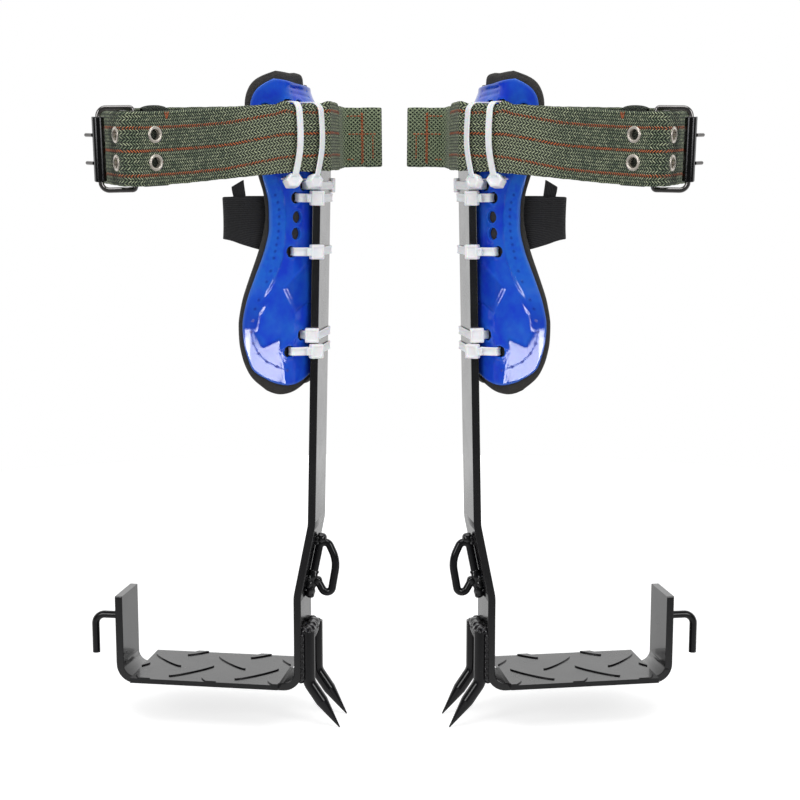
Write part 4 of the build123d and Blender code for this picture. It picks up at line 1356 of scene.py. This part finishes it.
side_corner, outer_corner = np.array(STRAP_CORNERS[1]), np.array(STRAP_CORNERS[2])
tab_way = unit(outer_corner - side_corner)
tab_in = turned_right(tab_way)
tab_middle = side_corner + (outer_corner - side_corner) * 0.32 + tab_in * 4.0
tab_section = strap_section(TAB_WIDTH, TAB_THICKNESS, 9)
points, uv = [], []
levels = np.linspace(TAB_LOW, TAB_HIGH, 28)
for level in levels:
    share = tab_section[:, 0] / (TAB_WIDTH / 2)
    top = TAB_TAPER * smooth((level - TAB_TAPER_FROM) / (TAB_HIGH - TAB_TAPER_FROM))
    sides = tab_section[:, 0] - top
    depth = tab_section[:, 1] + 0.4 * math.sin(level / 5.0)
    flat = tab_middle + sides[:, None] * -tab_way + depth[:, None] * tab_in
    points.append(np.column_stack([flat, level - top * (1 - share)]))
    uv.append(np.column_stack([np.full(len(share), level), tab_section[:, 0]]))
faces = band(len(levels), len(tab_section))
make_pair("calf_strap_tab", np.concatenate(points), faces, [black_elastic],
          replaces=["calf_strap_tab"], uv=np.concatenate(uv), sharp=50)
print("tab", TAB_HIGH - TAB_LOW, "mm long")

# %% [markdown]
# The keeper is a loop of thinner dark webbing round the inner layer, close to the buckle. It is
# a closed band: its line runs round the strap, and its top is pushed up into a soft arch.

# %% Keeper
KEEPER_START, KEEPER_LENGTH, KEEPER_THICKNESS = 5.0, 19.5, 1.2
KEEPER_LOW, KEEPER_HIGH, KEEPER_DEEP = -24.9, 27.9, 2.2


def closed_line(corners, radii, step):
    """Closed line round some corners, from the middle of its last run back to there."""
    corners = [np.array(corner, float) for corner in corners]
    seam = (corners[0] + corners[-1]) / 2
    return rounded_line([seam, *corners, seam], radii, step)[:-1]


keeper_middle = HEEL + RUN_OUT * FOLD_RADIUS - TO_BUCKLE * (KEEPER_START + KEEPER_LENGTH / 2)
corners = [(KEEPER_DEEP, KEEPER_LOW), (KEEPER_DEEP, KEEPER_HIGH),
           (-KEEPER_DEEP, KEEPER_HIGH), (-KEEPER_DEEP, KEEPER_LOW)]
keeper_line = closed_line(corners, [1.9] * 4, 0.8)
section = strap_section(KEEPER_LENGTH, KEEPER_THICKNESS, 15)
out = right_hand(keeper_line, closed=True)
travelled = distances_along(keeper_line)
points, uv = [], []
for row, (depth, level) in enumerate(keeper_line):
    share = section[:, 0] / (KEEPER_LENGTH / 2)
    arch = 1.4 * smooth((level - 20) / 8) * (np.abs(share) ** 2.5)
    depths = depth + out[row, 0] * section[:, 1]
    levels = level + out[row, 1] * section[:, 1] - arch + belt_lift(keeper_middle[None])[0]
    flat = keeper_middle + depths[:, None] * RUN_OUT + section[:, 0][:, None] * TO_BUCKLE
    points.append(np.column_stack([flat, levels]))
    uv.append(np.column_stack([np.full(len(section), travelled[row]), section[:, 0] + 14.0]))
faces = band(len(keeper_line), len(section), closed=True)
make_pair("belt_keeper", in_belt_frame(np.concatenate(points)), faces, [keeper_webbing],
          replaces=["belt_keeper"], uv=np.concatenate(uv), sharp=50)
print("keeper", round(travelled[-1]), "mm round the strap")

# %% [markdown]
# An eyelet is a pressed tube whose top is rolled over into a round flange; the washer behind
# is flatter. Both are turned shapes, so one profile goes round each hole in a lathe helper.

# %% Eyelets and washers
EYELET_PROFILE = [(3.6, -1.3), (3.6, 1.15), (3.72, 1.6), (4.1, 1.92), (4.65, 2.0), (5.2, 1.84),
                  (5.58, 1.5), (5.66, 1.24), (5.3, 1.22), (4.2, 1.2), (4.2, -1.3)]
WASHER_PROFILE = [(3.65, -1.28), (3.65, -1.85), (3.9, -1.98), (4.8, -1.98), (5.14, -1.8),
                  (5.18, -1.45), (5.0, -1.28)]
LATHE_STEPS = 40


def lathe(profile, centre, axis, side, up):
    """A ring with this profile of radius and height, turned round its axis."""
    turns = np.linspace(0, 2 * math.pi, LATHE_STEPS, endpoint=False)
    points = []
    for turn in turns:
        spoke = side * math.cos(turn) + up * math.sin(turn)
        points += [centre + spoke * radius + axis * height for radius, height in profile]
    return np.array(points), band(LATHE_STEPS, len(profile), closed=True)


def join(shapes):
    """Points and faces of several shapes as one mesh."""
    points, faces, start = [], [], 0
    for shape_points, shape_faces in shapes:
        points.append(shape_points)
        faces += [tuple(corner + start for corner in face) for face in shape_faces]
        start += len(shape_points)
    return np.concatenate(points), faces


def eyelet_row(profile):
    shapes = []
    for spot, facing in EYELET_SPOTS:
        beside = turned_right(facing)
        lift = belt_lift(spot[None])[0]
        for level in EYELET_ROWS:
            shapes.append(lathe(profile, np.array([*spot, level + lift]), np.array([*facing, 0.0]),
                                np.array([*beside, 0.0]), np.array([0.0, 0.0, 1.0])))
    points, faces = join(shapes)
    return in_belt_frame(points), faces


for name, profile in (("belt_eyelets", EYELET_PROFILE), ("eyelet_washers", WASHER_PROFILE)):
    points, faces = eyelet_row(profile)
    make_pair(name, points, faces, [nickel], replaces=[name], sharp=45)
print("eyelets turned")

# %% [markdown]
# The prongs sit on a sleeve of sheet steel that is rolled round the outer bar of the frame and
# pressed together into a lip. Its outline is a drop: round over the bar, thin at the lip. The
# same outline at every level makes the sleeve, with softened ends and a bore for the bar.

# %% Sleeve of the prongs
PRONG_BAR = HEEL + heading(199.0) * 22.6
PRONG_WAY = heading(143.0)
SLEEVE_RADIUS, SLEEVE_BORE, LIP_REACH, LIP_HALF = 3.9, 1.9, 7.2, 0.75
SLEEVE_HALF, SLEEVE_CHAMFER = 21.5, 0.4


def in_plan(shape, level, origin, way, beside):
    """Points of a shape whose x runs along one way and whose y runs beside it, at a level."""
    flat = origin + shape[:, :1] * way + shape[:, 1:2] * beside
    return np.column_stack([flat, np.broadcast_to(level, len(flat))])


def drop_outline(shrink):
    """Closed outline of the drop, from the joint over the bar and round the lip, along x."""
    radius, half = SLEEVE_RADIUS - shrink, LIP_HALF - shrink * 0.6
    joint = math.radians(32)
    arc = [(radius * math.cos(turn), radius * math.sin(turn))
           for turn in np.linspace(joint, 2 * math.pi - joint, 40)]
    start_x, start_y = arc[0]
    blend = [(start_x + (5.2 - start_x) * share, half + (start_y - half) * (1 - smooth(share)))
             for share in (0.3, 0.55, 0.8, 1.0)]
    end = LIP_REACH - shrink * 0.6
    nose = [(end - half + half * math.cos(turn), half * math.sin(turn))
            for turn in np.linspace(math.pi / 2, 0, 4)]
    upper = blend + nose
    lower = [(x, -y) for x, y in upper]
    return np.array(arc + lower + upper[-2::-1])


outline, end_outline = drop_outline(0.0), drop_outline(SLEEVE_CHAMFER)
bore = SLEEVE_BORE * outline / np.linalg.norm(outline, axis=1)[:, None]
straight = SLEEVE_HALF - SLEEVE_CHAMFER
levels = [-straight, *np.linspace(1 - SLEEVE_HALF, SLEEVE_HALF - 1, 12), straight]
rings = [(-SLEEVE_HALF, end_outline), *((level, outline) for level in levels),
         (SLEEVE_HALF, end_outline), (SLEEVE_HALF, bore), (-SLEEVE_HALF, bore)]
beside = -turned_right(PRONG_WAY)
points = [in_plan(ring, level, PRONG_BAR, PRONG_WAY, beside) for level, ring in rings]
faces = band(len(points), len(outline), closed=True)
make_pair("prong_sleeve", in_belt_frame(np.concatenate(points)), faces, [black_chrome],
          replaces=["prong_sleeve"], body="prongs", sharp=50)
print("sleeve with", len(faces), "faces")

# %% [markdown]
# White nylon cable ties hold the guard to the shank and the belt to the guard. Raw nylon is
# milky: light goes in a little and comes out again, so the finish has some subsurface scatter,
# a half-gloss skin and a faint cloud in its white.

# %% Nylon
white_nylon, tree, shader = new_finish("white nylon", Subsurface_Weight=0.25,
                                       Subsurface_Scale=0.002, IOR=1.53)
place = object_place(tree)
cloud = grain(tree, place, 260.0, 3.0)
whites = ramp(tree, cloud, [(0.3, (0.90, 0.90, 0.93)), (0.7, (0.97, 0.97, 0.98))])
feed(tree, shader, Base_Color=whites, Roughness=spread(tree, cloud, 0.3, 0.7, 0.3, 0.5))
bumped(tree, shader, grain(tree, place, 900.0, 2.0), 0.0002, 0.3)
print("nylon made")

# %% [markdown]
# A tie is a closed ribbon with a shallow channel, and a head with a window through which the
# tail comes out and is cut short. The section of the ribbon is carried along the line of the
# tie, with its channel always outward.

# %% Ribbon of a tie
TIE_THICKNESS = 1.3


def tie_section(width):
    """Ribbon with a channel down its middle: rows of across and out."""
    half, thick = width / 2, TIE_THICKNESS / 2
    channel = [(-half * 0.62, thick), (-half * 0.5, thick * 0.55), (half * 0.5, thick * 0.55),
               (half * 0.62, thick)]
    front = [(-half, 0.2), (-half + 0.25, thick - 0.1), (-half + 0.5, thick), *channel,
             (half - 0.5, thick), (half - 0.25, thick - 0.1), (half, 0.2)]
    back = [(half, -0.2), (half - 0.35, -thick), (-half + 0.35, -thick), (-half, -0.2)]
    return np.array(front + back)


def tie_ribbon(line, width, place_point):
    """Closed ribbon along a flat line; place_point sets its flat and across points in space."""
    section = tie_section(width)
    out = right_hand(line, closed=True)
    turning = np.cross(np.roll(line, -1, axis=0) - line, np.roll(line, 1, axis=0) - line).sum()
    if turning > 0:
        out = -out
    points = []
    for spot, facing in zip(line, out):
        flat = spot + section[:, 1:] * facing
        points.append(place_point(flat, section[:, 0]))
    return np.concatenate(points), band(len(line), len(section), closed=True)


print("ties", TIE_THICKNESS, "mm thick")

# %% [markdown]
# The heads are bevelled blocks whose broad faces are pressed in: square ones at the shank,
# six-sided ones under the belt.

# %% Heads of the ties
def pressed_block(form, length, chamfer, margin, depth):
    """Points and faces of a block, its edges bevelled and its two broad faces pressed in."""
    bmesh.ops.bevel(form, geom=form.edges[:], offset=chamfer, segments=3, profile=0.6,
                    affect="EDGES")
    form.normal_update()
    broad = [face for face in form.faces if abs(face.normal.y) > 0.99 and face.calc_area() > length]
    for face in broad:
        bmesh.ops.inset_region(form, faces=[face], thickness=margin, depth=0.0)
        bmesh.ops.inset_region(form, faces=[face], thickness=0.35, depth=-depth)
    form.verts.index_update()
    points = np.array([corner.co[:] for corner in form.verts])
    faces = [tuple(corner.index for corner in face.verts) for face in form.faces]
    form.free()
    return points, faces


def tie_head(length, depth, height, chamfer):
    """Square block round the origin with a pressed window on both sides."""
    form = bmesh.new()
    bmesh.ops.create_cube(form, size=1.0)
    for corner in form.verts:
        corner.co = Vector((corner.co.x * length, corner.co.y * depth, corner.co.z * height))
    return pressed_block(form, length, chamfer, 0.9, 0.7)


def six_sided_head(length, depth, height):
    """Block with a six-sided face, its points to both sides, pressed in as well."""
    half, tall = length / 2, height / 2
    face = [(-half, 0.4), (-half * 0.52, -tall), (half * 0.52, -tall), (half, 0.4),
            (half * 0.48, tall), (-half * 0.48, tall)]
    form = bmesh.new()
    corners = [form.verts.new((x, -depth / 2, z)) for x, z in face]
    grown = bmesh.ops.extrude_face_region(form, geom=[form.faces.new(corners)])["geom"]
    far_corners = [part for part in grown if isinstance(part, bmesh.types.BMVert)]
    bmesh.ops.translate(form, verts=far_corners, vec=(0, depth, 0))
    bmesh.ops.recalc_face_normals(form, faces=form.faces[:])
    return pressed_block(form, length, 0.8, 1.3, 0.6)


print("tie heads ready")

# %% [markdown]
# Five ties hold the guard to the shank. Each one comes out of a slot in the shell, goes round
# the bar and back through the slot on the other side, and follows the wall inside. The line is
# drawn in plan and then leans with the guard. The head sits somewhere along the straight run,
# a little differently on each tie, as it happens when they are pulled tight by hand. A head
# that sits close to its slot shows no cut tail.

# %% Ties round the shank
TIE_INSIDE, TIE_OUTSIDE = 50.55, 55.6
BAR_EDGE = (7.0, 21.0)
SHANK_TIE_WIDTH = 6.4
HEAD_PLACES = (0.6, 0.75, 0.8, 0.5, 0.85)
TAIL_FROM = 0.55
HEAD_SIZE, TAIL_SIZE = (10.5, 5.6, 11.0, 1.1), (4.0, 1.3, 5.6, 0.3)


def guard_spot(radius, angle):
    return np.array([GUARD_AXIS + radius * math.cos(angle), radius * math.sin(angle)])


for number, (level, angle, head_side) in enumerate(SHANK_TIES, start=1):
    wide = math.radians(angle)
    corners = [guard_spot(TIE_INSIDE, wide * share) for share in (1, 0.5, 0, -0.5, -1)]
    corners += [guard_spot(TIE_OUTSIDE, -wide), (BAR_EDGE[0], -BAR_EDGE[1]), BAR_EDGE,
                guard_spot(TIE_OUTSIDE, wide)]
    line = closed_line(corners, [1.4, 20, 20, 20] + [1.4] * 5, 1.4)
    parts = [tie_ribbon(line, SHANK_TIE_WIDTH,
                        lambda flat, across: np.column_stack([flat, level + across]))]
    hole = guard_spot(TIE_OUTSIDE, head_side * wide)
    edge = np.array([BAR_EDGE[0], head_side * BAR_EDGE[1]])
    way = unit(edge - hole)
    outward = turned_right(way) * -head_side
    share = HEAD_PLACES[number - 1]
    middle = hole + (edge - hole) * share + outward * 2.4
    blocks = [(HEAD_SIZE, middle)]
    if share > TAIL_FROM:
        blocks.append((TAIL_SIZE, middle - way * 6.4 + outward * 1.3))
    for size, spot in blocks:
        block, block_faces = tie_head(*size)
        parts.append((in_plan(block, level + block[:, 2], spot, way, outward), block_faces))
    points, faces = join(parts)
    make_pair(f"shank_tie_{number}", leaned(*points.T), faces, [white_nylon],
              replaces=[f"shank_tie_{number}"], sharp=40)
print("ties round the shank:", len(SHANK_TIES))

# %% [markdown]
# Two ties go over the belt. They are pulled tight, so they bow over the webbing instead of
# standing square, and their heads hang under the belt's lower edge.

# %% Ties over the belt
BELT_TIE_WIDTH = 5.4
BELT_HEAD_SIZE = (14.6, 6.0, 10.0)
HEAD_TIP = math.radians(18)

for number, station in enumerate(TIE_STATIONS, start=1):
    angle, radius = belt_tie_crossing(station)
    front = radius + 4.4
    high, low = BELT_TIE_LEVELS
    middle = (high + low) / 2
    depths = (TIE_INSIDE, front - 2.4, front + 0.3, front - 1.6, TIE_INSIDE)
    corners = list(zip(depths, (low, low, middle, high, high)))
    line = closed_line(corners, [1.4, 5.0, 120.0, 7.0, 1.4], 1.2)
    outward, beside = heading(math.degrees(angle)), heading(math.degrees(angle) + 90)
    axis = np.array([GUARD_AXIS, 0.0])

    def round_guard(flat, across):
        level_share = (flat[:, 1] - middle) / (high - middle)
        bow = -1.0 * level_share ** 2 + 2.4 * np.clip(level_share, -2, 0) * np.abs(level_share)
        plan = axis + flat[:, :1] * outward + (np.reshape(across, (-1, 1)) + bow[:, None]) * beside
        return np.column_stack([plan, flat[:, 1]])

    ribbon = tie_ribbon(line, BELT_TIE_WIDTH, round_guard)
    block, block_faces = six_sided_head(*BELT_HEAD_SIZE)
    cos, sin = math.cos(HEAD_TIP), math.sin(HEAD_TIP)
    depth = block[:, 1] * cos - block[:, 2] * sin + front - 4.0
    rise = block[:, 1] * sin + block[:, 2] * cos + low - 1.2
    head = round_guard(np.column_stack([depth, rise]), block[:, 0])
    points, faces = join([ribbon, (head, block_faces)])
    make_pair(f"belt_tie_{number}", leaned(*points.T), faces, [white_nylon],
              replaces=[f"belt_tie_{number}"], sharp=40)
print("ties over the belt:", len(TIE_STATIONS))

# %% [markdown]
# Spikes, hook and loop are welded on by hand. A weld bead is a string of overlapping ripples
# with lumps in it, so each bead is a thick line whose wall is pushed in and out by a few waves
# along and round it.

# %% One weld bead
BEAD_SIDES = 14
BEAD_TILT = (0.31, 0.52, 0.79)


def bead(line, radius, ripple, seed):
    """One bead along a line; ripple is the distance from one ripple to the next."""
    rng = np.random.default_rng(seed)
    fine = rounded_line(line, [2.0] * (len(line) - 2), 0.45)
    travelled = distances_along(fine)
    ways = np.gradient(fine, axis=0)
    ways /= np.linalg.norm(ways, axis=1)[:, None]
    ends = np.minimum(travelled, travelled[-1] - travelled)
    sizes = radius * np.sqrt(np.clip(1 - (1 - np.clip(ends / radius, 0, 1)) ** 2, 0.02, 1))
    turns = np.linspace(0, 2 * math.pi, BEAD_SIDES, endpoint=False)
    start = rng.uniform(0, 2 * math.pi, 4)
    points = []
    for spot, way, size, place in zip(fine, ways, sizes, 2 * math.pi * travelled / ripple):
        side = unit(np.cross(way, BEAD_TILT))
        up = np.cross(side, way)
        lumps = 0.07 * np.sin(place + start[0] + 0.9 * np.sin(turns + start[1]))
        lumps = lumps + 0.09 * np.sin(0.55 * place + 2 * turns + start[2])
        lumps = lumps + 0.05 * np.sin(3 * turns - place + start[3])
        points += [spot + size * (1 + lump) * (side * math.cos(turn) + up * math.sin(turn))
                   for turn, lump in zip(turns, lumps)]
    return np.array(points), band(len(fine), len(turns))


print("a bead has", BEAD_SIDES, "sides")

# %% [markdown]
# Every bead has its line, radius, ripple and seed. Beads run along both sides of each spike and
# across the foot of the shank, sit at both feet of the ankle loop and go round the foot of the
# hook. Several overlap in the corner between the parts.

# %% Weld beads
def jog_x(level):
    """Outer face of the bar where it slants between foot and shank."""
    return 6.1 + max(0.0, level - 66.0) * 12.0 / 58.0


welds = []
for row, spike_y in enumerate((-15.5, 15.5)):
    for side in (-1, 1):
        beside = spike_y + side * 4.4
        welds.append(([(6.9, beside, -1.0), (6.9, beside, 37.0)], 1.7, 2.6, 40 + 2 * row + side))
    welds += [
        ([(7.8, spike_y - 4.4, 37.0), (8.4, spike_y + 4.2, 38.2)], 3.6, 2.6, 50 + row),
        ([(9.0, spike_y - 2.0, 37.6), (14.6, spike_y + 0.5, 36.6)], 3.6, 2.6, 60 + row),
        ([(5.4, spike_y - 1.0, 1.0), (4.4, spike_y, -4.5)], 2.9, 2.0, 70 + row),
    ]
hook_ring = [(-145.2, 3.4 * math.cos(turn), 40 + 3.4 * math.sin(turn))
             for turn in np.linspace(0.3, 2 * math.pi + 0.2, 14)]
welds += [
    ([(8.0, -11.5, 35.5), (7.4, 0.0, 37.0), (8.0, 11.5, 35.0)], 2.9, 2.1, 80),
    ([(7.4, -10.5, 28.5), (7.0, 0.0, 30.5), (7.4, 10.5, 29.5)], 2.2, 2.0, 81),
    ([(9.5, -18.0, 37.0), (11.5, -9.0, 39.0), (11.5, 2.0, 39.5), (11.0, 12.0, 38.5)], 4.0, 4.6, 87),
    ([(13.2, -17.5, 36.5), (12.6, -8.0, 35.5), (12.2, 4.0, 36.5)], 3.5, 4.0, 88),
    ([(9.0, -13.0, 31.5), (9.5, -4.0, 30.5), (9.5, 6.0, 31.5)], 3.5, 4.2, 89),
    ([(8.8, -0.6, 61.0), (10.0, -0.6, 68.0), (13.2, -0.4, 85.0)], 3.8, 5.6, 82),
    ([(8.8, -2.4, 69.0), (10.2, -2.4, 80.5)], 2.8, 4.4, 83),
    ([(12.6, -0.2, 72.0), (18.2, -0.2, 78.0)], 3.7, 4.6, 84),
    ([(jog_x(107) + 1.6, -1.0, 107.0), (jog_x(112) + 6.6, -0.4, 113.0)], 4.1, 4.4, 85),
    ([(jog_x(105) + 0.9, -1.8, 104.0), (jog_x(111) + 0.9, -1.8, 112.0)], 2.3, 2.4, 86),
    (hook_ring, 1.3, 1.6, 21),
]
points, faces = join([bead(*weld) for weld in welds])
make_pair("weld_beads", points, faces, [weld_paint], sharp=60)
print("weld beads:", len(welds))

# %% [markdown]
# The tongue is sewn through with orange thread in a ladder, and a short bar tack holds the
# keeper. Each stitch is a small rounded grain of thread that lies half sunk in the cloth.

# %% One stitch
orange_thread, tree, shader = new_finish("orange thread", Roughness=0.7, Sheen_Weight=0.2,
                                         Sheen_Roughness=0.4)
place = object_place(tree)
twist = grain(tree, place, 2200.0, 2.0)
shades = [(0.3, (0.30, 0.055, 0.015)), (0.7, (0.62, 0.16, 0.05))]
feed(tree, shader, Base_Color=ramp(tree, twist, shades))
bumped(tree, shader, twist, 0.0003, 0.6)
STITCH_SHARES = (0.0, 0.12, 0.35, 0.65, 0.88, 1.0)
STITCH_SIDES = 8


def stitch(start, end, radius, outward):
    """One grain of thread, thick in the middle and pulled in at both ends."""
    start, end = np.array(start, float), np.array(end, float)
    way = unit(end - start)
    across = np.cross(way, outward)
    length = np.linalg.norm(end - start)
    points = []
    for share in STITCH_SHARES:
        size = radius * max(0.15, math.sqrt(max(0.0, 1 - (2 * share - 1) ** 4)))
        centre = start + way * length * share
        points += [centre + size * (across * math.cos(turn) + outward * math.sin(turn))
                   for turn in np.linspace(0, 2 * math.pi, STITCH_SIDES, endpoint=False)]
    return np.array(points), band(len(STITCH_SHARES), STITCH_SIDES)


print("a stitch has", STITCH_SIDES, "sides")

# %% [markdown]
# The ladder has upright and level rows on the face of the tongue. The tack is three upright
# stitches on the outer layer, close to the keeper.

# %% Stitches
def stitch_row(places, facing, pitch=2.6, length=2.2):
    """Stitches along a polyline of belt points, on the side that faces outward."""
    shapes = []
    outward = np.array([*facing, 0.0])
    corners = np.array(places, float)
    for start, end in zip(corners, corners[1:]):
        way = end - start
        count = max(1, round(np.linalg.norm(way) / pitch))
        for number in range(count):
            first = start + way * number / count
            shapes.append(stitch(first, first + unit(way) * length, 0.5, outward))
    return shapes


tongue_face = turned_right(TONGUE_RUN)


def on_tongue(distance, level):
    spot = TONGUE_START + TONGUE_RUN * distance + tongue_face * (BELT_THICKNESS / 2 + 0.1)
    return np.array([*spot, level])


shapes = []
for column, top, bottom in ((15.6, 19.5, -21.0), (16.5, 19.0, -20.0), (24.4, 1.5, -17.0)):
    shapes += stitch_row([on_tongue(column, top), on_tongue(column, bottom)], tongue_face)
for level, near, far in ((16.7, 1.0, 15.0), (2.7, 5.0, 27.5), (-17.0, 1.0, 10.0)):
    shapes += stitch_row([on_tongue(near, level), on_tongue(far, level)], tongue_face, pitch=3.0)
tack_lift = belt_lift(HEEL[None])[0]
tack_base = HEEL + RUN_OUT * (OVER_RADIUS + BELT_THICKNESS / 2 + 0.1)
for low_place, high_place in ((20.6, 21.4), (20.4, 19.2), (20.9, 22.6)):
    bottom = np.array([*(tack_base - TO_BUCKLE * low_place), 19.4 + tack_lift])
    top = np.array([*(tack_base - TO_BUCKLE * high_place), 24.4 + tack_lift])
    shapes.append(stitch(bottom, top, 0.3, np.array([*RUN_OUT, 0.0])))
points, faces = join(shapes)
make_pair("stitches", in_belt_frame(points), faces, [orange_thread], sharp=70)
print("stitches:", len(shapes))
